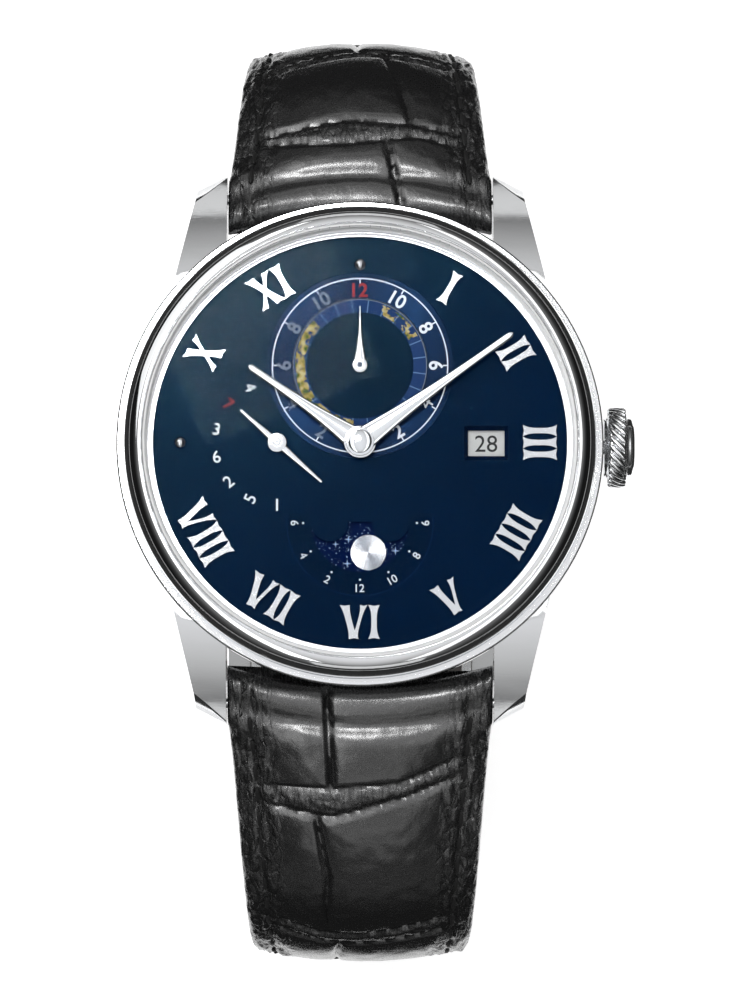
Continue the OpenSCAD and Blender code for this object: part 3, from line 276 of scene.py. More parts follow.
def linked(name, data):
    """A new object at the origin of the scene, with its mesh, text, light or camera."""
    made = bpy.data.objects.new(name, data)
    bpy.context.scene.collection.objects.link(made)
    return made


def mesh_from(name, vertices, faces, edges=()):
    """A mesh from points in millimetres."""
    mesh = bpy.data.meshes.new(name)
    mesh.from_pydata([tuple(c * MM for c in v) for v in vertices], edges, faces)
    return mesh


def piece_from(name, vertices, faces, material, sharp=35.0):
    """A mesh object from points in millimetres, with its edges sharp above an angle in degrees."""
    mesh = mesh_from(name, vertices, faces)
    finish_mesh(mesh, sharp)
    mesh.materials.append(material)
    return linked(name, mesh)


def finish_mesh(mesh, sharp, merge=True):
    """Merges doubles unless told otherwise, turns the faces outwards and shades them."""
    work = bmesh.new()
    work.from_mesh(mesh)
    if merge:
        bmesh.ops.remove_doubles(work, verts=work.verts, dist=SAME_PLACE)
    bmesh.ops.recalc_face_normals(work, faces=work.faces)
    work.to_mesh(mesh)
    work.free()
    smoothed(mesh, sharp)


def smoothed(mesh, sharp):
    """Smooth faces with edges sharp above an angle in degrees, or flat faces where none is given."""
    mesh.polygons.foreach_set("use_smooth", [sharp is not None] * len(mesh.polygons))
    if sharp is not None:
        mesh.set_sharp_from_angle(angle=math.radians(sharp))


def evaluated(piece):
    """A piece's mesh with its modifiers applied."""
    seen = bpy.context.evaluated_depsgraph_get()
    return bpy.data.meshes.new_from_object(piece.evaluated_get(seen), depsgraph=seen)


def oblong(x0, y0, x1, y1):
    """The corners of an upright oblong."""
    return [(x0, y0), (x1, y0), (x1, y1), (x0, y1)]


def rounded(points, radius, steps=4):
    """A closed outline with each corner rounded by up to radius."""
    result = []
    for index, corner in enumerate(points):
        corner = Vector(corner)
        before = Vector(points[index - 1]) - corner
        after = Vector(points[(index + 1) % len(points)]) - corner
        reach = min(radius, before.length * 0.45, after.length * 0.45)
        if reach < 1e-5 or abs(before.angle(after) - math.pi) < 0.12:
            result.append(tuple(corner))
            continue
        start, end = corner + before.normalized() * reach, corner + after.normalized() * reach
        for step in range(steps + 1):
            t = step / steps
            result.append(tuple(start * (1 - t) ** 2 + corner * 2 * t * (1 - t) + end * t ** 2))
    return result


def lathe(name, outline, material, centre=(0, 0), segments=SEGMENTS, axis="Z", base=0.0, sharp=35.0):
    """A solid turned from a closed outline of (radius, height) points, about Z or X."""
    vertices, rings = [], []
    for radius, height in outline:
        ring = []
        for index in range(1 if radius < 1e-6 else segments):
            turn = 2 * math.pi * index / segments
            flat = (radius * math.cos(turn), radius * math.sin(turn))
            point = (centre[0] + flat[0], centre[1] + flat[1], base + height)
            if axis == "X":
                point = (base + height, centre[0] + flat[0], centre[1] + flat[1])
            ring.append(len(vertices))
            vertices.append(point)
        rings.append(ring)
    faces = []
    for one, other in zip(rings, rings[1:] + rings[:1]):
        if len(one) == 1 and len(other) == 1:
            continue
        for index in range(segments):
            following = (index + 1) % segments
            if len(one) == 1:
                faces.append((one[0], other[index], other[following]))
            elif len(other) == 1:
                faces.append((one[index], other[0], one[following]))
            else:
                faces.append((one[index], other[index], other[following], one[following]))
    return piece_from(name, vertices, faces, material, sharp=sharp)


def faces_over(rows, ring=False):
    """The faces over rows of points: closed around each row, with both ends closed, or itself a closed ring."""
    count, total = len(rows[0]), len(rows)
    faces = []
    for j in range(total if ring else total - 1):
        here, following = j * count, (j + 1) % total * count
        for i in range(count):
            beside = (i + 1) % count
            faces.append((here + i, here + beside, following + beside, following + i))
    if not ring:
        faces += [tuple(range(start, start + count)) for start in (0, (total - 1) * count)]
    return faces


def loft(name, rows, material, ring=False, sharp=35.0):
    """A skin over rows of points, with both ends closed, or itself a closed ring."""
    return piece_from(name, [point for row in rows for point in row], faces_over(rows, ring), material, sharp)


def slab(name, outlines, low, high, material):
    """Flat outlines raised from one height to another, each a closed loop of (x, y) points."""
    vertices, faces = [], []
    for outline in outlines:
        start, count = len(vertices), len(outline)
        vertices += [(x, y, low) for x, y in outline] + [(x, y, high) for x, y in outline]
        faces.append(tuple(range(start, start + count)))
        faces.append(tuple(range(start + count, start + 2 * count)))
        faces += [(start + i, start + (i + 1) % count, start + count + (i + 1) % count, start + count + i)
                  for i in range(count)]
    return piece_from(name, vertices, faces, material)


def joined(name, pieces, material):
    """One piece from several, each at the origin."""
    work = bmesh.new()
    for piece in pieces:
        work.from_mesh(piece.data)
    mesh = bpy.data.meshes.new(name)
    work.to_mesh(mesh)
    work.free()
    mesh.materials.append(material)
    for piece in pieces:
        bpy.data.objects.remove(piece)
    return linked(name, mesh)


def polar(centre, radius, clockwise):
    """A point at a clockwise angle in degrees from 12 o'clock."""
    turn = math.radians(clockwise)
    return centre[0] + radius * math.sin(turn), centre[1] + radius * math.cos(turn)


def numbers(name, entries, height, thickness, material, bold):
    """Raised or printed numbers: entries are (text, size, x, y, clockwise turn), in millimetres and degrees.

    A text with a 4 isn't thickened, because that would close the opening in this font's 4.
    """
    made = []
    for text, size, x, y, turn in entries:
        carrier = linked(name, having(bpy.data.curves.new(name, "FONT"), body=text, align_x="CENTER", align_y="CENTER",
                                      size=size, extrude=thickness / 2, offset=0.0 if "4" in text else bold,
                                      resolution_u=4))
        mesh = bpy.data.meshes.new_from_object(carrier)
        bpy.data.objects.remove(carrier)
        spots = np.array([corner.co for corner in mesh.vertices])
        middle = (spots.min(axis=0) + spots.max(axis=0)) / 2
        mesh.transform(Matrix.Scale(MM, 4) @ Matrix.Translation((x, y, height + thickness / 2))
                       @ Matrix.Rotation(-math.radians(turn), 4, "Z") @ Matrix.Translation(-Vector(middle)))
        finish_mesh(mesh, None)
        made.append(linked(name, mesh))
    return joined(name, made, material)


def put(piece, node, replaces=True):
    """The piece moves with a node's body, and stands for that node unless told otherwise."""
    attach(piece, BODY_OF[node])
    if replaces:
        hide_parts(node)
    return piece


def dress(material, *nodes, edge=None):
    """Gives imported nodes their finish, and breaks their edges with a small round in millimetres if one is given."""
    for node in nodes:
        mesh = NODES[node].data
        mesh.materials.clear()
        mesh.materials.append(material)
        if edge:
            soften(node, edge)


def modifier(piece, name, kind, **values):
    """Adds a modifier with its settings."""
    return having(piece.modifiers.new(name, kind), **values)


def soften(node, width):
    """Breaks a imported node's edges with a small round, through modifiers that leave its own mesh alone."""
    piece = NODES[node]
    modifier(piece, "weld", "WELD", merge_threshold=1e-6)
    modifier(piece, "flat", "DECIMATE", decimate_type="DISSOLVE", angle_limit=math.radians(1.0))
    modifier(piece, "edge", "BEVEL", width=width * MM, segments=2, limit_method="ANGLE",
             angle_limit=math.radians(SOFT_ANGLE), miter_outer="MITER_ARC", use_clamp_overlap=True)
    modifier(piece, "smooth", "NODES", node_group=smooth_tree())
    modifier(piece, "flatten", "WEIGHTED_NORMAL", keep_sharp=True, weight=90)


# Geometry node trees.

def new_tree(name, inputs):
    """An empty Geometry Nodes tree with named inputs, with what it is given and where its result goes."""
    tree = bpy.data.node_groups.new(name, "GeometryNodeTree")
    tree.interface.new_socket("Geometry", in_out="INPUT", socket_type="NodeSocketGeometry")
    for label, kind, default in inputs:
        socket = tree.interface.new_socket(label, in_out="INPUT", socket_type="NodeSocket" + kind)
        if default is not None:
            socket.default_value = default
    tree.interface.new_socket("Geometry", in_out="OUTPUT", socket_type="NodeSocketGeometry")
    return tree, tree.nodes.new("NodeGroupInput").outputs, tree.nodes.new("NodeGroupOutput").inputs[0]


def wire(tree, kind, values=None, **settings):
    """Adds a node with its settings, its fixed inputs and its links. A node as an input gives its first output."""
    node = having(tree.nodes.new(kind), **settings)
    for key, value in (values or {}).items():
        if isinstance(value, bpy.types.Node):
            value = value.outputs[0]
        if isinstance(value, bpy.types.NodeSocket):
            tree.links.new(value, node.inputs[key])
        else:
            node.inputs[key].default_value = value
    return node


def passed_out(tree, given, result, placed, **moved):
    """Makes instances real, moves them where asked, sets their material and passes them out."""
    real = wire(tree, "GeometryNodeRealizeInstances", {"Geometry": placed})
    if moved:
        real = wire(tree, "GeometryNodeTransform", {"Geometry": real, **moved})
    done = wire(tree, "GeometryNodeSetMaterial", {"Geometry": real, "Material": given["Material"]})
    tree.links.new(done.outputs[0], result)
    return tree


def set_round(tree, given, shape):
    """Instances of a shape round a circle about Z, each facing outwards."""
    circle = wire(tree, "GeometryNodeMeshCircle", {"Vertices": given["Count"], "Radius": given["Radius"]})
    outward = wire(tree, "FunctionNodeAlignRotationToVector", {"Vector": wire(tree, "GeometryNodeInputPosition")},
                   axis="X", pivot_axis="Z")
    return wire(tree, "GeometryNodeInstanceOnPoints", {"Points": circle, "Instance": shape, "Rotation": outward})


def size_of(tree, x, y, z):
    """Three lengths as one size."""
    return wire(tree, "ShaderNodeCombineXYZ", {"X": x, "Y": y, "Z": z})


def smooth_tree():
    """Smooth faces, with edges above the angle that is rounded kept sharp."""
    name = "smooth_by_angle"
    if name in bpy.data.node_groups:
        return bpy.data.node_groups[name]
    tree, given, result = new_tree(name, [("Angle", "Float", math.radians(SOFT_ANGLE))])
    faces = wire(tree, "GeometryNodeSetShadeSmooth", {"Geometry": given["Geometry"], "Shade Smooth": True},
                 domain="FACE")
    steep = wire(tree, "FunctionNodeCompare", {0: wire(tree, "GeometryNodeInputMeshEdgeAngle"), 1: given["Angle"]},
                 operation="GREATER_THAN", data_type="FLOAT")
    edges = wire(tree, "GeometryNodeSetShadeSmooth", {"Geometry": faces, "Selection": steep, "Shade Smooth": False},
                 domain="EDGE")
    tree.links.new(edges.outputs[0], result)
    return tree


def stitch_tree():
    """Thread stitches set at a pitch along a line, each a short capsule, leant a little, lying in the seam."""
    tree, given, result = new_tree("row_of_stitches", [
        ("Pitch", "Float", 2.4 * MM), ("Length", "Float", 1.8 * MM), ("Thread", "Float", 0.3 * MM),
        ("Lean", "Float", 0.0), ("Material", "Material", None)])
    line = wire(tree, "GeometryNodeMeshToCurve", {"Mesh": given["Geometry"]})
    points = wire(tree, "GeometryNodeCurveToPoints", {"Curve": line, "Length": given["Pitch"]}, mode="LENGTH")
    bead = wire(tree, "GeometryNodeMeshUVSphere", {"Segments": 8, "Rings": 7, "Radius": 0.5})
    size = size_of(tree, given["Thread"], given["Thread"], given["Length"])
    shaped = wire(tree, "GeometryNodeTransform", {"Geometry": bead, "Scale": size})
    lean = wire(tree, "ShaderNodeCombineXYZ", {"X": given["Lean"]})
    turned = wire(tree, "FunctionNodeRotateRotation", {"Rotation": points.outputs["Rotation"], "Rotate By": lean},
                  rotation_space="LOCAL")
    placed = wire(tree, "GeometryNodeInstanceOnPoints", {"Points": points, "Instance": shaped, "Rotation": turned})
    return passed_out(tree, given, result, placed)


def ring_tree():
    """Bars set round a circle about Z, such as the ticks of a scale."""
    tree, given, result = new_tree("bars_round_a_circle", [
        ("Count", "Int", 12), ("Radius", "Float", 7 * MM), ("Length", "Float", 1 * MM), ("Width", "Float", 0.1 * MM),
        ("Height", "Float", 0.02 * MM), ("Centre", "Vector", None), ("Material", "Material", None)])
    bar = wire(tree, "GeometryNodeMeshCube", {"Size": size_of(tree, given["Length"], given["Width"],
                                                              given["Height"])})
    return passed_out(tree, given, result, set_round(tree, given, bar), Translation=given["Centre"])


def rib_tree():
    """Slanting round ribs side by side on a cylinder about X, as on a fluted crown."""
    tree, given, result = new_tree("slanting_ribs", [
        ("Count", "Int", 28), ("Radius", "Float", 3.1 * MM), ("Rib", "Float", 0.3 * MM), ("Width", "Float", 1.6 * MM),
        ("Lean", "Float", 0.6), ("Centre", "Vector", None), ("Material", "Material", None)])
    rib = wire(tree, "GeometryNodeMeshUVSphere", {"Segments": 14, "Rings": 10, "Radius": 0.5})
    across = wire(tree, "ShaderNodeMath", {0: given["Rib"], 1: 2.0}, operation="MULTIPLY")
    shaped = wire(tree, "GeometryNodeTransform", {"Geometry": rib, "Scale": size_of(tree, across, across,
                                                                                    given["Width"])})
    slant = wire(tree, "ShaderNodeCombineXYZ", {"X": given["Lean"]})
    leaning = wire(tree, "GeometryNodeTransform", {"Geometry": shaped, "Rotation": slant})
    return passed_out(tree, given, result, set_round(tree, given, leaning), Translation=given["Centre"],
                      Rotation=(0, math.pi / 2, 0))


def star_tree():
    """Specks strewn over a flat face with a fixed seed."""
    tree, given, result = new_tree("strewn_specks", [
        ("Density", "Float", 4e6), ("Size", "Float", 0.03 * MM), ("Seed", "Int", 7), ("Material", "Material", None)])
    strewn = wire(tree, "GeometryNodeDistributePointsOnFaces", {
        "Mesh": given["Geometry"], "Density": given["Density"], "Seed": given["Seed"]})
    speck = wire(tree, "GeometryNodeMeshCylinder", {"Vertices": 6, "Radius": given["Size"], "Depth": 0.01 * MM})
    size = wire(tree, "FunctionNodeRandomValue", {2: 0.35, 3: 1.3, "Seed": given["Seed"]}, data_type="FLOAT")
    placed = wire(tree, "GeometryNodeInstanceOnPoints", {"Points": strewn, "Instance": speck,
                                                         "Scale": size.outputs[1]})
    return passed_out(tree, given, result, placed)


def grown(name, tree, values, base=None, sharp=35.0):
    """The plain mesh that a tree makes, as a new piece."""
    carrier = base or linked(name, bpy.data.meshes.new(name))
    maker = modifier(carrier, tree.name, "NODES", node_group=tree)
    for item in tree.interface.items_tree:
        if item.in_out == "INPUT" and item.name in values:
            maker[item.identifier] = values[item.name]
    mesh = evaluated(carrier)
    bpy.data.objects.remove(carrier)
    smoothed(mesh, sharp)
    return linked(name, mesh)


# The strap's middle line seen from the side, and its sizes, in millimetres.

BUCKLE_Y = -5.4
STITCH_IN = 1.85
EAR = 1.6
LUG_WIDTH, TAPER, TIP_R = 21.9, 3.9, 7
FOLD, FOLD_R, THIN, PADDING = 3, 1.5, 2.4, 2.0
MARGIN = 3.9
BAR = (21, 44.4)
BAR_SLOPE = 2.4 / 6.6
REACH_12, REACH_6 = 35.2, 40.3
FLAT_12, FLAT_6, UNDER = 4.8, 3.15, 2.3


def clamped(value):
    """A number kept between 0 and 1."""
    return min(1.0, max(0.0, value))


def curve_between(a, b, c, d, count):
    """Points of a Bezier curve, without its first."""
    steps = np.linspace(0, 1, count + 1)[1:, None]
    a, b, c, d = (np.array(p, float) for p in (a, b, c, d))
    back = 1 - steps
    return list(back ** 3 * a + 3 * back ** 2 * steps * b + 3 * back * steps ** 2 * c + steps ** 3 * d)


class Half:
    """One half of the strap: its outward side, whether it ends in a tip, and its middle line."""

    def __init__(self, side, tip, points):
        self.side, self.tip = side, tip
        self.line = np.array(points)
        gaps = np.hypot(*np.diff(self.line, axis=0).T)
        self.along = np.concatenate([[0], np.cumsum(gaps)])
        self.length = self.along[-1]

    def at(self, s):
        """The middle line's point at a distance along it."""
        return np.array([np.interp(s, self.along, self.line[:, 0]), np.interp(s, self.along, self.line[:, 1])])

    def ahead(self, s):
        """The direction away from the case at a distance along the line."""
        step = self.at(min(self.length, s + 0.6)) - self.at(max(0.0, s - 0.6))
        return step / np.hypot(*step)

    def outward(self, s):
        """The direction out of the loop at a distance along the line."""
        ahead = self.ahead(s)
        return self.side * np.array([-ahead[1], ahead[0]])

    def row(self, s, across, heights, width):
        """Points across the strap. Its corners reach towards the case beside the lugs."""
        reach = EAR * (np.asarray(across) / width) ** 2 * max(0.0, 1 - s / 3)
        places = self.at(s) + np.outer(heights, self.outward(s)) - np.outer(reach, self.ahead(s))
        return [(a, *place) for a, place in zip(across, places)]

    def half_width(self, s):
        """Half the width at a distance along the line, where a tip is rounded."""
        taper = clamped((s - 3) / 30) ** 0.8
        return (LUG_WIDTH - TAPER * taper) / 2 * (round_end(self.length - s, TIP_R) if self.tip else 1.0)

    def thick(self, s):
        """The thickness at a distance along the line: folded at the lugs, then padded, then thin."""
        pad = THIN + PADDING * clamped((46 - s) / 34)
        body = FOLD + (pad - FOLD) * clamped((s - FOLD_R) / 3)
        return body * round_end(s, FOLD_R) * round_end(self.length - s, 1.05)


def round_end(distance, reach):
    """How full a rounded end is at a distance from its tip."""
    return math.sqrt(max(0.02, 1 - max(0.0, 1 - distance / reach) ** 2))


def strap_halves():
    """The 12 o'clock half, which ends at the buckle, and the 6 o'clock half with the holes."""
    start = [(BAR[0] - d, BAR[1] + d * BAR_SLOPE) for d in (1.5, 1.3, 0.8)] + [BAR]
    points = start + curve_between(BAR, (27.6, 42), (REACH_12, 36), (REACH_12, 26.5), 40)
    points += curve_between((REACH_12, 26.5), (REACH_12, 13.5), (23.6, FLAT_12), (11.6, FLAT_12), 50)
    points += [(BUCKLE_Y + d, FLAT_12) for d in (13, 8, 3.2, 1.6, 0, -0.7, -1.1)]
    short = Half(1, False, points)
    points = [(-y, z) for y, z in start]
    points += curve_between(points[-1], (-27.6, 42), (-REACH_6, 36), (-REACH_6, 25.5), 40)
    points += curve_between((-REACH_6, 25.5), (-REACH_6, 13.5), (-31.4, FLAT_6), (-21.4, FLAT_6), 50)
    points += zip((BUCKLE_Y + d for d in (-13, -9.5, -6, -3, 0, 6, 13, 16.5, 18.4, 19.4, 19.9)),
                  (FLAT_6, 3.13, 2.825, 2.38) + (UNDER,) * 7)
    return short, Half(-1, True, points)


# Creases of the hide beside the case, as lines of (distance along the strap, offset across it).

CREASES_12 = [[(0.3, 3.5), (1.4, 3.25), (6.4, 2.15)], [(6.9, -10.2), (6.6, -8.2), (6.1, -5), (5.9, -1.3), (6.4, 2.1),
              (6.9, 5), (6.4, 7.9), (6.2, 10.2)], [(7.0, -10.2), (7.7, -5), (8.3, -1.4), (8.15, 3.3), (7.7, 7.9),
              (7.9, 10.2)], [(8.2, 4.2), (10, 3.9), (17.4, 2)], [(14.6, -9.8), (15.4, -8.4), (17.4, 0), (16.4, 8.6),
              (16, 9.8)], [(16.2, -9.8), (18.6, -0.5), (17.6, 9.8)]]
CREASES_6 = [[(0.3, -2.75), (8.5, -2.4)], [(8.6, -10.2), (8.45, -2.5), (8, 3.3), (5.95, 8.6), (5.6, 10.2)],
             [(9.8, -10.2), (10.95, -2.5), (9.35, 3.3), (7.5, 8.6), (7.2, 10.2)],
             [(10.95, -3.6), (16.75, -2.7), (22.6, -2.9)],
             [(21.2, -9.8), (23.1, -3), (23.2, 0.2), (21.6, 7.75), (21.2, 9.8)],
             [(22.4, -9.8), (24.4, -3), (24.6, 0.2), (23, 9.8)]]


def creases_of(seen, start, end, seed):
    """The folds seen in front, then rows of scales down to the buckle."""
    random = np.random.default_rng(seed)
    lines = [list(line) for line in seen]
    s = start
    while s < end - 3:
        pitch = random.uniform(5.6, 7.6)
        bow, skew = random.uniform(-0.8, 0.8), random.uniform(-0.05, 0.05)
        across = np.linspace(-9.6, 9.6, 9)
        wobble = random.uniform(-0.25, 0.25, 9)
        lines.append([(s + pitch + bow * (1 - (x / 9.6) ** 2) + skew * x + w, x) for x, w in zip(across, wobble)])
        lines.append([(s + pitch + 1.3 + bow * (1 - (x / 9.6) ** 2) + skew * x - w, x)
                      for x, w in zip(across, wobble)])
        middle, lean = random.uniform(-2.8, 2.8), random.uniform(-0.7, 0.7)
        lines.append([(s + 0.4, middle), (s + pitch * 0.5, middle + lean), (s + pitch + bow, middle + lean * 0.4)])
        s += pitch + 1.3
    return lines


def band_of(lines, s, across):
    """Where points lie between the two edges of a fold that runs across the strap, from 0 to 1."""
    folds = [line for line in lines if line[-1][1] - line[0][1] > 15]
    band = np.zeros(across.shape)
    for first, last in zip(folds[::2], folds[1::2]):
        low, high = (np.interp(across, [x for _, x in line], [t for t, _ in line]) for line in (first, last))
        band = np.maximum(band, np.clip((s - low) / 0.2, 0, 1) * np.clip((high - s) / 0.2, 0, 1))
    return band


def distance_to(lines, s, across):
    """The shortest distance in millimetres from points (s, across) to any of the lines."""
    best = np.full(across.shape, 9.0)
    for line in lines:
        for (s0, x0), (s1, x1) in zip(line, line[1:]):
            if min(s0, s1) - 3 > s or max(s0, s1) + 3 < s:
                continue
            ds, dx = s1 - s0, x1 - x0
            t = np.clip(((s - s0) * ds + (across - x0) * dx) / (ds * ds + dx * dx), 0, 1)
            best = np.minimum(best, np.hypot(s - s0 - t * ds, across - x0 - t * dx))
    return best


def ridge(distance, width):
    """A smooth ridge, 1 high in its middle."""
    return np.exp(-(distance / width) ** 2)


def lumps(across, s, cross, along, seed):
    """Smooth noise at points across the strap, with how fast it changes each way."""
    return np.array([noise.noise(Vector((x * cross, s * along, seed))) for x in across])


def top_of(s, across, width, thick, lines, depth):
    """How far the leather's face stands out from the middle line, with its padding, creases and seam."""
    nearness = clamped((6.5 - s) / 4.5)
    edge = min(thick, 2.1 + 0.9 * nearness * nearness * (3 - 2 * nearness))
    u = np.clip(np.abs(across) / width, 0, 1)
    past_edge = np.abs(across) - width
    height = edge + (thick - edge) * (1 - u ** 2.2) ** 0.95 - thick / 2
    fold = s + 1.4 * u ** 2
    height += 0.08 * ridge(fold - 1.8, 0.6) - 0.36 * ridge(fold - 3.1, 0.62)
    rough = np.clip((past_edge + MARGIN) / 1.1, 0, 1)
    height += rough * (0.24 * lumps(across, s, 1.5, 0.42, 7.0) + 0.13 * lumps(across, s, 3.4, 1.5, 2.0))
    height += 0.16 * band_of(lines, s, across) * lumps(across, s, 1.7, 2.6, 4.0)
    near = distance_to(lines, s, across)
    inside = np.clip((width - STITCH_IN - np.abs(across)) / 1.2, 0.12, 1)
    height -= depth * inside * (0.7 * ridge(near, 0.24) + 0.3 * ridge(near, 1.3))
    height -= 0.16 * ridge(past_edge + STITCH_IN, 0.34)
    corner = np.clip((past_edge + 0.5) / 0.5, 0, 1)
    return height - 0.42 * (1 - np.sqrt(np.clip(1 - corner ** 2, 0, 1)))


def strap_skin(name, half, lines, depth, material):
    """The outer leather of one half of the strap, as rows across it from the lug to its free end."""
    close = np.array([0.0, 0.05, 0.15, 0.3, 0.5, 0.75, 1.05, 1.5, 2.0])
    stops = np.concatenate([close, [2.25], np.arange(2.5, half.length - 2.2, 0.27), half.length - close[::-1]])
    rows, margins, places = [], [], []
    above, below = 120, 14
    spread = np.sin(np.linspace(-1, 1, above) * math.pi / 2)
    for s in stops:
        width, thick = half.half_width(s), half.thick(s)
        across = width * (0.55 * spread + 0.45 * np.linspace(-1, 1, above))
        face = top_of(s, across, width, thick, lines, depth * min(1.0, thick / 2))
        face = face + 0.035 * lumps(across, s, 0.9, 0.9, 3.0) * min(1.0, s / 2)
        floor = -thick / 2 + 0.72 * clamped((s - 1.8) / 0.5) * min(1.0, max(0.0, half.length - s) / 3)
        x = np.concatenate([across, np.linspace(width - 0.12, -width + 0.12, below)])
        v = np.concatenate([np.maximum(face, floor + 0.05), np.full(below, floor)])
        rows.append(half.row(s, x, v, width))
        rough = np.clip((np.abs(x) - (width - MARGIN)) / 1.1, 0, 1)
        margins += list(np.maximum(rough, 0.8 * band_of(lines, s, x)))
        places += [(a, s, 0.0) for a in x]
    return skin_from(name, rows, margins, places, material)


def skin_from(name, rows, margins, places, material):
    """A closed skin over the rows, with the attributes that the hide's finish reads."""
    mesh = mesh_from(name, [point for row in rows for point in row], faces_over(rows))
    mesh.attributes.new("margin", "FLOAT", "POINT").data.foreach_set("value", margins)
    mesh.attributes.new("flat_place", "FLOAT_VECTOR", "POINT").data.foreach_set(
        "vector", [c for place in places for c in place])
    finish_mesh(mesh, 60, merge=False)
    mesh.materials.append(material)
    return linked(name, mesh)


def lining_skin(name, half, material):
    """The lining on the inner side of one half."""
    rows, places = [], []
    count = 16
    for s in np.arange(2.0, half.length - 2.8, 0.5):
        width, thick = half.half_width(s) - 0.02, half.thick(s)
        low, high = -thick / 2, -thick / 2 + 0.7
        x = np.concatenate([np.linspace(-width, width, count), np.linspace(width, -width, count)])
        bulge = np.concatenate([np.full(count, high), np.full(count, low)])
        bulge[[count, 2 * count - 1]] += 0.12
        rows.append(half.row(s, x, bulge, width))
        places += [(a, s, 0.0) for a in x]
    return skin_from(name, rows, [0.0] * len(places), places, material)


def cut(piece, cutters):
    """Cuts closed shapes out of a piece."""
    for cutter in cutters:
        modifier(piece, "hole", "BOOLEAN", operation="DIFFERENCE", solver="MANIFOLD", object=cutter)
    mesh = evaluated(piece)
    piece.modifiers.clear()
    piece.data = mesh
    for cutter in cutters:
        bpy.data.objects.remove(cutter)


def stitches(name, half, lines, depth, settings, material, side):
    """A row of thread stitches in the seam on one side of one half."""
    points = []
    for s in np.arange(3.2, half.length - (7.5 if half.tip else 3.5), 0.6):
        width, thick = half.half_width(s), half.thick(s)
        across = side * (width - STITCH_IN)
        face = float(top_of(s, np.array([across]), width, thick, lines, depth)[0])
        points += half.row(s, [across], [face + 0.02], width)
    base = linked(name, mesh_from(name, points, [], [(i, i + 1) for i in range(len(points) - 1)]))
    tree = bpy.data.node_groups.get("row_of_stitches") or stitch_tree()
    return grown(name, tree, {"Pitch": settings.stitch_pitch, "Length": settings.stitch_pitch * 0.72,
                              "Thread": settings.thread, "Lean": 0.12 * side, "Material": material}, base)


# The settings a user would change.

COLOR = {"subtype": "COLOR", "size": 3, "min": 0.0, "max": 1.0}


class WATCH_PG_case(bpy.types.PropertyGroup):
    """Sizes and colours of the case, its bezel, crystal and crown."""
    steel: bpy.props.FloatVectorProperty(name="Steel", description="Colour of the polished steel",
                                         default=(0.80, 0.81, 0.82), **COLOR)
    edge: bpy.props.FloatProperty(name="Edge round", description="Round on the edges of the case and the lugs",
                                  default=0.10 * MM, min=0.0, unit="LENGTH")
    ribs: bpy.props.IntProperty(name="Crown ribs", description="Number of slanting ribs round the crown",
                                default=28, min=12, max=48)
    rib_lean: bpy.props.FloatProperty(name="Rib lean", description="Slant of the crown's ribs", default=0.72,
                                      subtype="ANGLE")


class WATCH_PG_dial(bpy.types.PropertyGroup):
    """Sizes and colours of the dial and its displays."""
    blue: bpy.props.FloatVectorProperty(name="Dial blue", description="Colour of the dial's lacquer",
                                        default=linear(0, 13, 36), **COLOR)
    glow: bpy.props.FloatVectorProperty(name="Lighter blue", description="Colour of the dial where light fans out",
                                        default=linear(0, 17, 44), **COLOR)
    scale: bpy.props.FloatVectorProperty(name="Scale blue", description="Colour of the 24-hour ring",
                                         default=linear(6, 20, 40), **COLOR)
    red: bpy.props.FloatVectorProperty(name="Red", description="Colour of the red numbers",
                                       default=linear(146, 18, 16), **COLOR)
    ticks: bpy.props.IntProperty(name="Ticks", description="Number of ticks round the 24-hour ring", default=12,
                                  min=4)
    stars: bpy.props.FloatProperty(name="Stars", description="Specks per square metre of the moon disc's sky",
                                   default=8.0e6, min=0.0)


class WATCH_PG_strap(bpy.types.PropertyGroup):
    """Sizes and colours of the strap."""
    hide: bpy.props.FloatVectorProperty(name="Hide", description="Colour of the strap's leather",
                                        default=(0.002, 0.002, 0.0022), **COLOR)
    lining: bpy.props.FloatVectorProperty(name="Lining", description="Colour of the lining",
                                          default=(0.065, 0.06, 0.056), **COLOR)
    crease: bpy.props.FloatProperty(name="Crease depth", description="Depth of the creases between the scales",
                                    default=0.42 * MM, min=0.0, unit="LENGTH")
    stitch_pitch: bpy.props.FloatProperty(name="Stitch pitch", description="Distance from stitch to stitch",
                                          default=2.2 * MM, min=0.5 * MM, unit="LENGTH")
    thread: bpy.props.FloatProperty(name="Thread", description="Thickness of the thread", default=0.42 * MM,
                                    min=0.1 * MM, unit="LENGTH")


class WATCH_PG_movement(bpy.types.PropertyGroup):
    """Sizes and colours of the movement."""
    nickel: bpy.props.FloatVectorProperty(name="Nickel", description="Colour of the plates and bridges",
                                          default=(0.68, 0.67, 0.65), **COLOR)
    gilt: bpy.props.FloatVectorProperty(name="Gilt", description="Colour of the wheels", default=(0.78, 0.56, 0.24),
                                        **COLOR)
    stripe: bpy.props.FloatProperty(name="Stripe", description="Width of a stripe on the bridges", default=2.0 * MM,
                                    min=0.5 * MM, unit="LENGTH")
    spot: bpy.props.FloatProperty(name="Spot", description="Pitch of the grained spots on the main plate",
                                  default=1.3 * MM, min=0.4 * MM, unit="LENGTH")


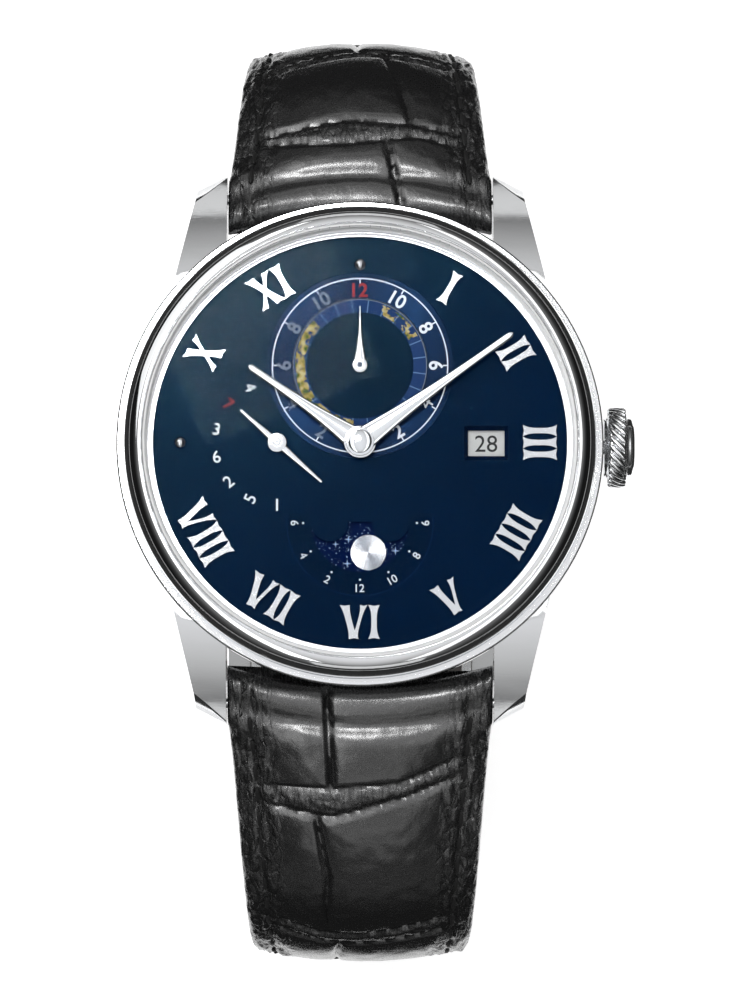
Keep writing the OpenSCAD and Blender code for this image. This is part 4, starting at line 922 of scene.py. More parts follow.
class WATCH_PG_studio(bpy.types.PropertyGroup):
    """The light and the camera."""
    box: bpy.props.FloatProperty(name="Soft box", description="Power of the soft box above, in watts", default=0.7,
                                 min=0.0)
    panel: bpy.props.FloatProperty(name="Panel", description="Power of the smaller panel at the upper left, in watts",
                                   default=0.55, min=0.0)
    sides: bpy.props.FloatProperty(name="Side boxes", description="Power of each box beyond the strap, in watts",
                                   default=0.09, min=0.0)
    strips: bpy.props.FloatProperty(name="Strips", description="Power of the left long light, in watts. The right "
                                                               "one has 0.6 of it", default=0.9, min=0.0)
    sky: bpy.props.FloatProperty(name="Surroundings", description="Brightness of the surroundings overhead",
                                 default=0.9, min=0.0)
    lens: bpy.props.FloatProperty(name="Lens", description="Focal length of the camera in millimetres", default=219.5,
                                  min=20.0)
    distance: bpy.props.FloatProperty(name="Distance", description="From the camera to the dial", default=0.5,
                                      min=0.2, unit="LENGTH")


SETTINGS = {"watch_case": WATCH_PG_case, "watch_dial": WATCH_PG_dial, "watch_strap": WATCH_PG_strap,
            "watch_movement": WATCH_PG_movement, "watch_studio": WATCH_PG_studio}


def at(height):
    """The height in the shared frame of a level measured from the dial's upper face, in millimetres."""
    return DIAL_TOP + height


# The operators, one for each piece or group of pieces.

class WATCH_OT_case(bpy.types.Operator):
    """Finish the middle case, the lugs, the back ring and the parts inside the case"""
    bl_idname = "watch.case"
    bl_label = "Case"

    def execute(self, context):
        settings = context.scene.watch_case
        steel = tuple(settings.steel)
        edge = settings.edge / MM
        dress(polished("case_polish", steel, 0.09), "mid_case", edge=edge)
        dress(brushed("back_ring_brushing", steel, 0.2, (0, 0, 0)), "caseback_ring", edge=edge * 0.8)
        dress(brushed("flange_turning", (0.9, 0.9, 0.91), 0.18, (0, 0, 0), depth=0.002), "flange_ring")
        dress(brushed("turned_steel", shade(steel, 0.8), 0.3), "crown_tube", "movement_holder", "lug_spring_bars")
        dress(Finish("seal_nylon", (0.86, 0.86, 0.86), 0.0, 0.4).material, "crystal_gasket")
        dress(Finish("seal_rubber", (0.012, 0.012, 0.013), 0.0, 0.55).material, "caseback_gasket")
        return {"FINISHED"}


class WATCH_OT_bezel(bpy.types.Operator):
    """Turn the polished bezel with its rounded top"""
    bl_idname = "watch.bezel"
    bl_label = "Bezel"

    def execute(self, context):
        low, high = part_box("bezel")
        radius, top = high.x / MM, high.z / MM - DIAL_TOP
        foot, inner, width = low.z / MM - DIAL_TOP, radius - 1.6, 1.48
        shoulder = [(radius - width * (1 - math.cos(a)), top - 1.5 * (1 - math.sin(a)))
                    for a in np.linspace(0, math.pi / 2, 33)]
        outline = [(17.3, foot), (18.17, foot), (18.17, 0.2), (radius - 0.03, 0.2), (radius, 0.23)]
        outline += shoulder[:-1] + rounded([(radius - width, top), (inner, top - 0.1), (inner, 0.2)], 0.07)[:-1]
        outline += [(inner, 0.2), (17.3, 0.2)]
        steel = polished("bezel_polish", tuple(context.scene.watch_case.steel), 0.045, 0.0015)
        put(lathe("polished_bezel", outline, steel, base=DIAL_TOP, sharp=30), "bezel")
        return {"FINISHED"}


class WATCH_OT_crystal(bpy.types.Operator):
    """Turn the domed crystal, and clear the crystal of the back"""
    bl_idname = "watch.crystal"
    bl_label = "Crystals"

    def execute(self, context):
        glass = Finish("sapphire_glass", (0.98, 0.99, 1.0), 0.0, 0.0, IOR=1.05, Transmission_Weight=1.0).material
        low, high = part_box("crystal")
        radius, top, foot = high.x / MM, high.z / MM - DIAL_TOP, low.z / MM - DIAL_TOP
        rise = 0.4
        dome = [(r, top - rise * (r / (radius - 0.3)) ** 2) for r in np.linspace(radius - 0.3, 0, 41)]
        outline = [(0, foot), (radius - 0.05, foot), (radius, foot + 0.05), (radius, top - rise - 0.2)] + dome
        put(lathe("domed_crystal", outline, glass, base=DIAL_TOP, sharp=25), "crystal")
        dress(glass, "caseback_crystal")
        for piece in (bpy.data.objects["domed_crystal"], NODES["caseback_crystal"]):
            piece.visible_shadow = False
        return {"FINISHED"}


class WATCH_OT_crown(bpy.types.Operator):
    """Turn the crown's core and set its slanting ribs"""
    bl_idname = "watch.crown"
    bl_label = "Crown"

    def execute(self, context):
        settings = context.scene.watch_case
        low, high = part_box("crown")
        height = at(-CROWN_DROP)
        start, end, radius = low.x / MM, high.x / MM, high.z / MM - height
        rim, width = CASE_R + 0.4, 1.6
        steel = polished("crown_polish", tuple(settings.steel), 0.07)
        outline = rounded([(0, start), (2.4, start), (2.5, rim), (radius - 0.42, rim), (radius - 0.26, rim + 0.2),
                           (radius - 0.26, rim + width - 0.2), (radius - 0.42, rim + width), (2.55, rim + width),
                           (2.5, end - 0.3), (2.1, end - 0.06), (0, end)], 0.12)
        core = lathe("crown_core", outline, steel, centre=(0, height), axis="X", sharp=30)
        put(core, "crown")
        ribs = grown("crown_ribs", rib_tree(), {
            "Count": settings.ribs, "Radius": (radius - 0.3) * MM, "Rib": 0.3 * MM, "Width": (width + 0.35) * MM,
            "Lean": -settings.rib_lean, "Centre": Vector((rim + width / 2, 0, height)) * MM, "Material": steel})
        put(ribs, "crown", replaces=False)
        return {"FINISHED"}


class WATCH_OT_dial(bpy.types.Operator):
    """Lacquer the dial and polish its applied numerals and balls"""
    bl_idname = "watch.dial"
    bl_label = "Dial and numerals"

    def execute(self, context):
        settings = context.scene.watch_dial
        dress(enamel("dial_lacquer", tuple(settings.blue), tuple(settings.glow)), "dial", edge=0.05)
        steel = polished("numeral_polish", (0.74, 0.75, 0.76), 0.06)
        dress(steel, "hour_numerals", edge=0.05)
        dress(steel, "hour_balls")
        return {"FINISHED"}


# The middles of the displays on the dial, in millimetres, and the arc of the moon's scale, in degrees.

WORLD = (0.0, 6.4)
WEEK = (-6.8, 0.0)
DATE_X = 10.36
MOON = (0.0, -6.6)
MOON_ARC = (82, 278)
SHOWN_MOON = (0.682, -2.379, 0)


def ink_ring(name, centre, inner, outer, height, thickness, material):
    """A thin printed ring, or a disc where it has no inner radius."""
    return lathe(name, oblong(inner, 0, outer, thickness), material, centre,
                 base=at(height), sharp=30)


class WATCH_OT_world_time(bpy.types.Operator):
    """Finish the 24-hour ring and the map ring, and print the scale"""
    bl_idname = "watch.world_time"
    bl_label = "World time"

    def execute(self, context):
        settings = context.scene.watch_dial
        # The 24-hour ring's turning carries a painted highlight in two fans.
        dress(spun("scale_turning", tuple(settings.scale), (*WORLD, 0)), "scale_ring_24h")
        white = printed("white_ink", linear(226, 230, 234))
        put(ink_ring("scale_line", WORLD, 7.15, 7.25, -0.032, 0.012, white), "scale_ring_24h", False)
        ticks = grown("scale_ticks", ring_tree(), {
            "Count": settings.ticks, "Radius": 6.98 * MM, "Length": 0.36 * MM, "Width": 0.1 * MM,
            "Height": 0.014 * MM, "Centre": Vector((*WORLD, at(-0.026))) * MM, "Material": white})
        put(ticks, "scale_ring_24h", False)
        pale = printed("grey_ink", linear(104, 114, 124))
        red = printed("red_ink", tuple(settings.red))
        rows = {"white": (white, "hand_steel"), "grey": (pale, "train_steel"), "red": (red, "ruby")}
        entries = {key: [] for key in rows}
        for index, text in enumerate(("12", "10", "8", "6", "4", "2", "0", "2", "4", "6", "8", "10")):
            tone = "red" if index == 0 else "grey" if index > 6 else "white"
            if index != 6:
                over = 180 if 3 < index < 9 else 0
                entries[tone].append((text, 1.6, *polar(WORLD, 6.25, index * 30), index * 30 + over))
        for tone, (ink, slot) in rows.items():
            put(numbers("scale_numbers_" + tone, entries[tone], at(-0.031), 0.014, ink, 0.03), "scale_ring_24h",
                False)
        dress(map_print("map_print", linear(14, 46, 92)), "map_ring")
        navy = enamel("map_centre_lacquer", linear(0, 12, 32), linear(1, 16, 40))
        put(ink_ring("map_centre", WORLD, 0, 4.39, -0.031, 0.014, navy), "map_ring", False)
        put(ink_ring("map_edge", WORLD, 5.43, 5.5, -0.031, 0.01, pale), "map_ring", False)
        return {"FINISHED"}


def map_print(name, sea):
    """A plain made-up map: land strewn by noise over two arcs of a blue ring with lines every 15 degrees."""
    ring = Finish(name, sea, 0.0, 0.4, Specular_IOR_Level=0.05)
    radius, angle = ring.radius_and_angle((*WORLD, 0))
    shapes = ring.noise(0.75, 5.0, 0.6, ring.placed((3.1, 1.7, 0)), distortion=0.4)
    main = ring.ramp(angle, [(0.0, 0.0), (0.045, 0.0), (0.06, 0.9), (0.17, 0.9), (0.19, 0.0), (0.505, 0.0),
                             (0.52, 1.0), (0.87, 1.0), (0.885, 0.0)])
    band = ring.ramp(ring.math("DIVIDE", radius, 10), [(0.0, 0.0), (0.44, 0.0), (0.452, 1.0), (0.532, 1.0),
                                                      (0.542, 0.0)])
    shore = ring.math("ADD", shapes, ring.math("MULTIPLY", ring.math("SUBTRACT", radius, 4.95), 0.1))
    land = ring.math("GREATER_THAN", ring.math("MULTIPLY", ring.math("MULTIPLY", main, band), shore), 0.45)
    hills = ring.noise(0.5, 3.0, 0.5, ring.placed((9, 4, 0)))
    ground = ring.ramp(hills, [(0.38, linear(52, 82, 22)), (0.48, linear(150, 130, 62)),
                               (0.62, linear(176, 166, 122))])
    step = ring.math("ABSOLUTE", ring.math("SUBTRACT", ring.math("FRACT", ring.math("MULTIPLY", angle, 24)), 0.5))
    line = ring.math("LESS_THAN", ring.math("MULTIPLY", step, radius), 0.16)
    water = ring.blend(ring.math("MULTIPLY", line, 0.55), sea, linear(120, 160, 200))
    return ring.done({"Base Color": ring.blend(land, water, ground)})


class WATCH_OT_calendar(bpy.types.Operator):
    """Finish the weekday and date displays and print their numbers"""
    bl_idname = "watch.calendar"
    bl_label = "Weekday and date"

    def execute(self, context):
        settings = context.scene.watch_dial
        white = printed("label_ink", linear(226, 230, 234))
        entries = []
        for text, turn in (("1", 180), ("5", 205.7), ("2", 231.4), ("6", 257.1), ("3", 282.9), ("4", 334.3)):
            upright = turn - 180 if turn < 200 else turn + 90
            entries.append((text, 1.4, *polar(WEEK, 5.1, turn), upright))
        put(numbers("weekday_numbers", entries, at(0.002), 0.014, white, 0.012), "dial", False)
        red = printed("holiday_ink", tuple(settings.red))
        put(numbers("weekday_number_7", [("7", 1.4, *polar(WEEK, 5.1, 308.6), 308.6 + 90)], at(0.002), 0.014, red,
                    0.012), "dial", False)
        dress(enamel("window_lacquer", linear(0, 12, 34), linear(4, 20, 46), 0.22), "date_window_frame")
        # Painted shade: the date disc is white, and is painted mid grey to stand for the shade that falls in its deep
        # window.
        dress(printed("date_paper", (0.5, 0.5, 0.49)), "date_ring")
        days = []
        for day in range(1, 32):
            turn = 90 + (day - 28) * 360 / 31
            days.append((str(day), 1.95, *polar((0, 0), DATE_X, turn), turn - 90))
        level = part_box("date_ring")[1].z / MM
        put(numbers("date_numbers", days, level + 0.001, 0.01, printed("black_ink", (0.008, 0.008, 0.009)), 0.004),
            "date_ring", False)
        return {"FINISHED"}


def moon_band(outer, inner, count):
    """The outline between two radii over the arc of the moon's scale."""
    return ([polar(MOON, outer, turn) for turn in np.linspace(*MOON_ARC, 97)]
            + [polar(MOON, inner, turn) for turn in np.linspace(*MOON_ARC[::-1], count)])


class WATCH_OT_moon_phase(bpy.types.Operator):
    """Finish the moon disc with its stars and moons, and print the scale round it"""
    bl_idname = "watch.moon_phase"
    bl_label = "Moon phase"

    def execute(self, context):
        settings = context.scene.watch_dial
        sky = Finish("night_sky", linear(1, 11, 46), 0.0, 0.3, Specular_IOR_Level=0.02,
                     Specular_Tint=(0.2, 0.5, 1.0, 1.0))
        cloud = sky.noise(1.4, 4.0, 0.6)
        dress(sky.done({"Base Color": sky.blend(cloud, linear(0, 8, 34), linear(2, 14, 60))}), "moon_disc")
        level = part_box("moon_disc")[1].z / MM
        silver = printed("star_print", linear(150, 176, 214))
        field = piece_from("star_field", [(*polar(MOON, 4.3, k * 10), level + 0.004) for k in range(36)],
                           [tuple(range(36))], silver)
        stars = grown("stars", star_tree(), {"Density": settings.stars, "Size": 0.036 * MM, "Seed": 5,
                                             "Material": silver}, field, 30)
        put(stars, "moon_disc", False)
        sparks = [[polar((x, y), size if k % 2 == 0 else size * 0.2, k * 45) for k in range(8)]
                  for x, y, size in ((-0.95, -7.9, 0.34), (-2.0, -8.3, 0.3), (2.9, -8.85, 0.38), (-1.05, -9.9, 0.36))]
        put(slab("four_point_stars", sparks, level + 0.003, level + 0.014, silver), "moon_disc", False)
        # The moons carry a painted highlight in fans of their base colour.
        dress(moon_brushing("moon_brushing"), "moons")
        white = printed("moon_scale_ink", linear(214, 220, 226))
        plate = enamel("moon_plate_lacquer", linear(0, 12, 34), linear(0, 15, 40))
        put(slab("moon_scale_plate", [moon_band(6.02, 4.04, 81)], at(-0.002), at(0.012), plate), "dial",
            False)
        edging = enamel("moon_rim_lacquer", linear(10, 28, 60), linear(14, 34, 68))
        put(slab("moon_scale_rim", [moon_band(6.02, 5.95, 97)], at(0.004), at(0.02), edging), "dial",
            False)
        turns = range(90, 271, 30)
        labels = [(text, 0.92, *polar(MOON, 5.35, turn), turn + 180)
                  for text, turn in zip(("6", "8", "10", "12", "2", "4", "6"), turns)]
        put(numbers("moon_numbers", labels, at(0.01), 0.012, white, 0.008), "dial", False)
        dots = [[polar(polar(MOON, 4.66, turn), 0.09, k * 36) for k in range(10)] for turn in turns]
        put(slab("moon_dots", dots, at(0.008), at(0.022), white), "dial", False)
        return {"FINISHED"}


def moon_brushing(name):
    """Steel turned about the middle of each of the two moons, which face each other across the pivot, with a painted
    highlight: the base colour runs from dark steel to light steel in fans about each moon's middle.
    """
    steel = Finish(name, (0.62, 0.63, 0.65), 1.0, 0.26, Anisotropic=0.7)
    place = steel.placed((*MOON, 0))
    up = steel.parts(place)["Y"]
    side = steel.math("MULTIPLY", steel.math("SIGN", up), -1.0)
    turned = steel.add("ShaderNodeVectorMath", {0: place, "Scale": side}, operation="SCALE").outputs[0]
    moon = steel.math("SUBTRACT", turned, SHOWN_MOON, vector=True)
    x, y, _ = steel.parts(moon)
    angle = steel.math("ARCTAN2", x, y)
    # Painted highlight: the fans of light on the turned moons are painted into the base colour.
    fans = steel.math("POWER", steel.math("ABSOLUTE", steel.math("SINE", steel.math("ADD", angle, 0.5))), 2.5)
    rings = steel.noise(0.07, 3.0, 0.7, steel.ringed(steel.far(x, y)))
    return steel.done({"Base Color": steel.blend(fans, (0.16, 0.17, 0.19), (0.62, 0.62, 0.63)),
                       "Normal": steel.bump(rings, 0.006, 0.8)})


def blade(name, centre, turn, stations, low, high, material, hub):
    """A domed hand along stations of (distance, half width), turned clockwise from 12, with a round hub."""
    rows = []
    arch = [(math.cos(a), math.sin(a)) for a in np.linspace(0, math.pi, 13)]
    facing = math.radians(turn)
    along, beside = (math.sin(facing), math.cos(facing)), (math.cos(facing), -math.sin(facing))
    wall = low + (high - low) * 0.25
    for reach, half in stations:
        section = [(-half, low)] + [(-half * c, wall + (high - wall) * s ** 0.9) for c, s in arch] + [(half, low)]
        rows.append([(centre[0] + along[0] * reach + beside[0] * a, centre[1] + along[1] * reach + beside[1] * a, z)
                     for a, z in section])
    outline = rounded(oblong(0, 0, hub, high - low), 0.06)
    outline = [(max(0.0, r), z) for r, z in outline]
    return joined(name, [loft(name + "_blade", rows, material, sharp=40),
                         lathe(name + "_hub", outline, material, centre, 96, base=low, sharp=30)], material)


def tapering(reach, root, tip):
    """Stations of a hand that narrows in a hollow curve to a round tip."""
    rows = [(reach * t * 0.968, (tip + (root - tip) * (1 - t) ** 2.4) / 2) for t in np.linspace(0, 1, 25)]
    return rows + [(reach * (0.968 + 0.032 * math.sin(a)), tip / 2 * math.cos(a))
                   for a in np.linspace(0.2, math.pi / 2 - 0.12, 6)]


class WATCH_OT_hands(bpy.types.Operator):
    """Make the domed hands, with the centre cap and the pivots of the small hands"""
    bl_idname = "watch.hands"
    bl_label = "Hands"

    def execute(self, context):
        steel = polished("hand_polish", (0.86, 0.87, 0.88), 0.06, 0.001)
        put(blade("hour_blade", (0, 0), 304.5, tapering(11.1, 2.1, 0.62), at(0.80), at(1.02), steel, 1.33),
            "hour_hand")
        put(blade("minute_blade", (0, 0), 54.5, tapering(15.4, 2.1, 0.58), at(1.15), at(1.36), steel, 1.18),
            "minute_hand")
        cap = [(0, 0), (0.97, 0), (0.97, 0.16)] + [(0.97 * math.cos(a), 0.16 + 0.155 * math.sin(a))
                                                   for a in np.linspace(0.1, math.pi / 2, 10)][:-1] + [(0, 0.315)]
        put(lathe("centre_cap", cap, steel, segments=120, base=at(1.35), sharp=40), "hand_cap")
        drop = [(4.88 * t, 0.07 + 0.5 * (1 - t) ** 1.9) for t in np.linspace(0, 0.985, 28)]
        pointer = blade("world_blade", WORLD, 0, drop + [(4.86, 0.04)], at(0.30), at(0.43), steel, 0.62)
        put(pointer, "world_hand")
        x, y = WORLD
        square = oblong(x - 0.2, y - 0.2, x + 0.2, y + 0.2)
        black = Finish("pivot_black", (0.02, 0.03, 0.05), 0.6, 0.3).material
        put(slab("world_pivot", [square], at(0.42), at(0.55), black), "world_hand", False)
        arm = [(-4.9, 0.1), (-4.86, 0.125), (0, 0.36), (4.0, 0.13), (4.04, 0.1)]
        put(blade("weekday_blade", WEEK, 311.6, arm, at(0.30), at(0.43), steel, 0.79), "weekday_hand")
        put(lathe("weekday_pivot", rounded(oblong(0, 0, 0.3, 0.1), 0.04), steel, WEEK, 64,
                  base=at(0.43), sharp=40), "weekday_hand", False)
        return {"FINISHED"}


class WATCH_OT_strap(bpy.types.Operator):
    """Make both halves of the strap with their creases, linings and seams"""
    bl_idname = "watch.strap"
    bl_label = "Strap"

    def execute(self, context):
        settings = context.scene.watch_strap
        hide = hide_of_strap("strap_hide", tuple(settings.hide))
        soft = leather("lining_hide", tuple(settings.lining), 0.6, 0.03, 0.55, 0.0)
        thread = Finish("black_thread", (0.006, 0.006, 0.006), 0.0, 0.6, Sheen_Weight=0.05).material
        short, long_half = strap_halves()
        folds = creases_of(CREASES_12, 18.4, short.length, 3), creases_of(CREASES_6, 24.6, long_half.length, 8)
        depth = settings.crease / MM
        for name, half, lines in (("strap_12", short, folds[0]), ("strap_6", long_half, folds[1])):
            node = name + "_leather"
            skin = strap_skin(name + "_skin", half, lines, depth, hide)
            back = lining_skin(name + "_back", half, soft)
            if half.tip:
                places = [(0, BUCKLE_Y - 4 + i * 6.5, 1.0, 1.0) for i in (-2, -1, 1, 2)]
                places.append((0, BUCKLE_Y - 4, 1.0, 1.6))
            else:
                places = [(0, BUCKLE_Y - 0.5, 1.2, 2.5)]
            cut(skin, [punch(*place) for place in places])
            cut(back, [punch(*place) for place in places])
            put(skin, node)
            put(back, name + "_lining")
            seams = [stitches(f"{name}_seam_{label}", half, lines, depth, settings, thread, side)
                     for label, side in (("left", -1), ("right", 1))]
            put(joined(name + "_seams", seams, thread), node, False)
        return {"FINISHED"}


def punch(x, y, half_width, half_length):
    """A tall cutter with round ends, for a hole through the strap where it lies flat."""
    outline = [(x + half_width * math.cos(a), y + math.copysign(half_length - half_width, math.sin(a) + 1e-9)
                + half_width * math.sin(a)) for a in np.linspace(0, 2 * math.pi, 33)[:-1]]
    return slab("punch", [outline], -1, 9, bpy.data.materials.new("punch"))


class WATCH_OT_keepers(bpy.types.Operator):
    """Make the two leather keepers with rounded corners and edges"""
    bl_idname = "watch.keepers"
    bl_label = "Keepers"

    def execute(self, context):
        hide = leather("keeper_hide", tuple(context.scene.watch_strap.hide), 0.55, 0.05, 0.34, 0.3)
        for node in ("fixed_keeper", "free_keeper"):
            low, high = (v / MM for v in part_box(node))
            wall = 0.9
            outline = rounded(oblong(low.x, low.z, high.x, high.z), 1.7, 10)
            inner = rounded(oblong(low.x + wall, low.z + wall, high.x - wall, high.z - wall), 0.9, 10)
            depth = high.y - low.y
            section = rounded(oblong(0, 0, depth, wall), 0.27)
            rows = []
            for out, near in zip(outline, inner):
                rows.append([(near[0] + (out[0] - near[0]) * v / wall, low.y + u,
                              near[1] + (out[1] - near[1]) * v / wall) for u, v in section])
            put(loft(node + "_loop", rows, hide, ring=True, sharp=50), node)
        return {"FINISHED"}


class WATCH_OT_buckle(bpy.types.Operator):
    """Polish the pin buckle"""
    bl_idname = "watch.buckle"
    bl_label = "Buckle"

    def execute(self, context):
        steel = polished("buckle_polish", tuple(context.scene.watch_case.steel), 0.08)
        dress(steel, "buckle_frame", edge=0.16)
        dress(steel, "buckle_tongue", edge=0.12)
        dress(brushed("bar_steel", (0.6, 0.61, 0.62), 0.3), "buckle_bar")
        return {"FINISHED"}


def striped(name, color, width, turn=0.5):
    """Bridges with wide parallel stripes, each brushed across with a fine slant, and each with painted shade: its base
    colour darkens towards one side.
    """
    metal = Finish(name, color, 1.0, 0.24, Anisotropic=0.4)
    across = metal.parts(metal.placed(turn=turn))["X"]
    wave = metal.math("FRACT", metal.math("DIVIDE", across, width))
    fine = metal.noise(0.07, 3.0, 0.6, metal.placed(turn=turn + 0.6, stretch=(1, 0.03, 1)))
    # Painted shade: each stripe is painted darker towards its low side, as light falls off across the brushed band.
    return metal.done({"Base Color": metal.blend(wave, shade(color, 0.72), color),
                       "Roughness": metal.between(wave, 0.2, 0.34),
                       "Normal": metal.bump(wave, 0.05, 0.35, under=metal.bump(fine, 0.004, 0.6))})


def spotted(name, color, pitch):
    """A plate grained in rows of small round overlapping spots, each with painted shade: its base colour darkens
    towards its rim.
    """
    metal = Finish(name, color, 1.0, 0.3)
    spots = metal.cells(metal.placed(stretch=(1, 1, 0.001)), 1 / pitch, 0.0)
    rings = metal.math("SINE", metal.math("MULTIPLY", spots, 60.0))
    # Painted shade: each spot is painted darker towards its rim.
    return metal.done({"Base Color": metal.blend(spots, color, shade(color, 0.6)),
                       "Normal": metal.bump(metal.between(rings, 0.0, 1.0), 0.004, 0.6)})


class WATCH_OT_movement(bpy.types.Operator):
    """Finish the plates, bridges, wheels, screws and jewels"""
    bl_idname = "watch.movement"
    bl_label = "Movement"

    def execute(self, context):
        settings = context.scene.watch_movement
        nickel, gilt = tuple(settings.nickel), tuple(settings.gilt)
        dress(striped("bridge_stripes", nickel, settings.stripe / MM), "barrel_bridge", "train_bridge", "balance_cock",
              edge=0.07)
        dress(spotted("plate_spots", nickel, settings.spot / MM), "main_plate")
        dress(brushed("gilt_wheel", gilt, 0.24, depth=0.003), "barrel", "center_wheel", "third_wheel", "fourth_wheel",
              "balance_wheel", "hour_wheel", "minute_wheel", "weekday_star")
        dress(polished("train_polish", (0.74, 0.75, 0.77), 0.12), "cannon_pinion", "winding_pinion", "winding_stem",
              "escape_wheel", "pallet_fork")
        for node in ("ratchet_wheel", "crown_wheel"):
            low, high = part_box(node)
            middle = (low + high) / 2 / MM
            # Each turned wheel carries a painted highlight in two fans of its base colour.
            dress(spun(node + "_turning", (0.6, 0.61, 0.63), (middle.x, middle.y, 0), 1.0, 0.22), node)
        blue = Finish("blued_steel", (0.02, 0.07, 0.36), 0.9, 0.2).material
        dress(blue, "hairspring")
        dress(blue, "movement_screws", edge=0.04)
        ruby = Finish("ruby_stone", (0.55, 0.01, 0.07), 0.0, 0.08, Coat_Weight=1.0, Transmission_Weight=0.25)
        dress(ruby.material, "jewels")
        return {"FINISHED"}


class WATCH_OT_rotor(bpy.types.Operator):
    """Finish the rotor, its weight and its bearing"""
    bl_idname = "watch.rotor"
    bl_label = "Rotor"

    def execute(self, context):
        settings = context.scene.watch_movement
        stripes = striped("rotor_stripes", tuple(settings.nickel), settings.stripe / MM * 0.9, 0.9)
        dress(stripes, "rotor", edge=0.06)
        dress(brushed("weight_brushing", tuple(settings.gilt), 0.22, (0, 0, 0)), "rotor_weight", edge=0.1)
        dress(polished("bearing_polish", (0.72, 0.73, 0.75), 0.12), "rotor_bearing")
        return {"FINISHED"}


def facing(place, aim):
    """The rotation that points a lamp or the camera from a place at its aim."""
    return (Vector(aim) - Vector(place)).to_track_quat("-Z", "Y").to_euler()


def lamp(name, place, aim, size, power, height=None):
    """A square or oblong panel of light facing a point, in metres and watts."""
    light = having(bpy.data.lights.new(name, "AREA"), shape="RECTANGLE", size=size, size_y=height or size,
                   energy=power)
    return having(linked(name, light), location=place, rotation_euler=facing(place, aim))


def bands(tree, factor, stops, ends):
    """Greys at heights from 0 to 1, between the colours of the two ends."""
    node = wire(tree, "ShaderNodeValToRGB", {"Fac": factor})
    for height, grey in stops:
        node.color_ramp.elements.new(height).color = (grey, grey, grey, 1)
    for end, color in zip((0, -1), ends):
        node.color_ramp.elements[end].color = (*color, 1)
    return node


def surroundings(sky):
    """A world that is bright overhead and darker to the left and right, with a pale band above the horizon."""
    world = having(bpy.data.worlds.new("surroundings"), use_nodes=True)
    tree = world.node_tree
    place = wire(tree, "ShaderNodeTexCoord").outputs["Generated"]
    x, _, height = wire(tree, "ShaderNodeSeparateXYZ", {0: place}).outputs
    square = wire(tree, "ShaderNodeMath", {0: x, 1: x}, operation="MULTIPLY")
    middle = wire(tree, "ShaderNodeMath", {0: square, 1: -1.5, 2: 1.0}, operation="MULTIPLY_ADD", use_clamp=True)
    share = wire(tree, "ShaderNodeMath", {0: height, 1: middle}, operation="MULTIPLY")
    overhead = bands(tree, share, [(0.25, sky * 0.06), (0.6, sky * 0.22), (0.8, sky * 0.6)],
                     ((0.01, 0.01, 0.01), (sky, sky, sky * 1.02)))
    horizon = bands(tree, height, [(0.03, 0.0), (0.05, sky * 0.5), (0.09, sky * 0.5), (0.12, 0.0)],
                    ((0, 0, 0), (0, 0, 0)))
    total = wire(tree, "ShaderNodeVectorMath", {0: overhead, 1: horizon}, operation="ADD")
    tree.links.new(total.outputs[0], tree.nodes["Background"].inputs["Color"])
    return world


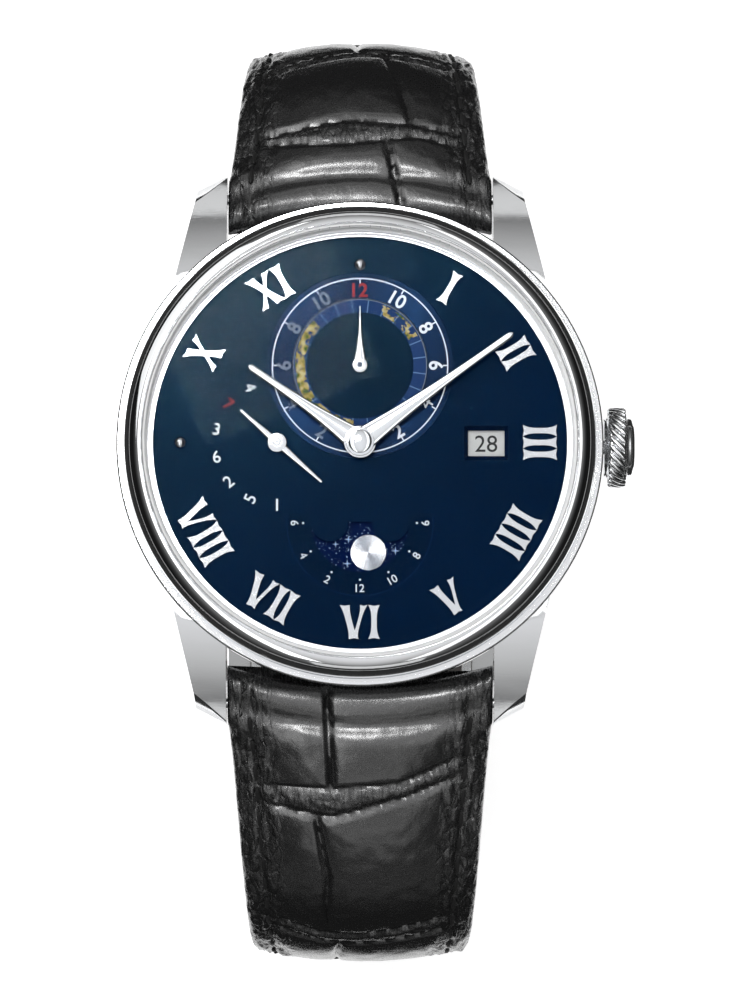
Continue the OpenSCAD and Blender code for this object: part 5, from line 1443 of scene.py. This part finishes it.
class WATCH_OT_studio(bpy.types.Operator):
    """Set the floor, the light and the camera"""
    bl_idname = "watch.studio"
    bl_label = "Studio"

    def execute(self, context):
        settings = context.scene.watch_studio
        scene = context.scene
        target = Vector((1.23, -4.7, DIAL_TOP)) * MM
        floor = slab("floor", [oblong(-1500, -1500, 1500, 1500)], -2.02, -0.02, floor_paper())
        lamp("soft_box", (-0.38, 0.34, 0.50), target, 0.45, settings.box)
        lamp("panel", (-0.043, 0.107, 0.60), target, 0.08, settings.panel)
        for name, place in (("north_box", (0.02, 0.53, 0.31)), ("south_box", (0.02, -0.53, 0.31))):
            lamp(name, place, target, 0.30, settings.sides, 0.16)
        for name, x, share in (("left_strip", -0.185, 1.0), ("right_strip", 0.2, 0.6)):
            lamp(name, (x, 0.0, 0.60), (x * 0.2, 0.0, 0.05), 1.3, settings.strips * share, 0.12)
        black = Finish("card_black", (0.045, 0.045, 0.045), 0.0, 0.9, Specular_IOR_Level=0.0).material
        card = lathe("black_card", oblong(60, 1, 1480, 1.2), black, segments=96)
        card.visible_camera = card.visible_diffuse = card.visible_shadow = card.visible_transmission = False
        tilt = math.radians(84.5)
        place = target + Vector((0, -math.cos(tilt), math.sin(tilt))) * settings.distance
        lens = having(bpy.data.cameras.new("camera"), lens=settings.lens, sensor_width=36, clip_start=0.02,
                      clip_end=20)
        scene.camera = having(linked("camera", lens), location=place, rotation_euler=facing(place, target))
        scene.world = surroundings(settings.sky)
        scene.view_settings.view_transform = "Standard"
        return {"FINISHED"}


def floor_paper():
    """White paper that stays white to the camera and in reflections, with the watch's shadow on it."""
    paper = Finish("floor_paper", (0.92, 0.92, 0.92), 0.0, 0.9, Specular_IOR_Level=0.0)
    path = paper.add("ShaderNodeLightPath").outputs
    seen = paper.math("MAXIMUM", path["Is Camera Ray"], paper.math("MAXIMUM", path["Is Glossy Ray"],
                                                                   path["Is Transmission Ray"]))
    return paper.done({"Emission Color": (1, 1, 1), "Emission Strength": paper.math("MULTIPLY", seen, 0.72)})


OPERATORS = (WATCH_OT_case, WATCH_OT_bezel, WATCH_OT_crystal, WATCH_OT_crown, WATCH_OT_dial, WATCH_OT_world_time,
             WATCH_OT_calendar, WATCH_OT_moon_phase, WATCH_OT_hands, WATCH_OT_strap, WATCH_OT_keepers,
             WATCH_OT_buckle, WATCH_OT_movement, WATCH_OT_rotor, WATCH_OT_studio)


class WATCH_PT_panel(bpy.types.Panel):
    """The watch's settings and the steps that build it"""
    bl_label = "Watch"
    bl_idname = "WATCH_PT_panel"
    bl_space_type = "VIEW_3D"
    bl_region_type = "UI"
    bl_category = "Watch"

    def draw(self, context):
        for name in SETTINGS:
            group = getattr(context.scene, name)
            box = self.layout.box()
            for key in group.bl_rna.properties.keys():
                if key not in ("rna_type", "name"):
                    box.prop(group, key)
        for operator in OPERATORS:
            self.layout.operator(operator.bl_idname)


def register():
    for kind in (*SETTINGS.values(), *OPERATORS, WATCH_PT_panel):
        bpy.utils.register_class(kind)
    for name, kind in SETTINGS.items():
        setattr(bpy.types.Scene, name, bpy.props.PointerProperty(type=kind))


def unregister():
    for name in SETTINGS:
        delattr(bpy.types.Scene, name)
    for kind in reversed((*SETTINGS.values(), *OPERATORS, WATCH_PT_panel)):
        bpy.utils.unregister_class(kind)


def main():
    register()
    for operator in OPERATORS:
        group, name = operator.bl_idname.split(".")
        getattr(getattr(bpy.ops, group), name)()


if __name__ == "__main__":
    main()
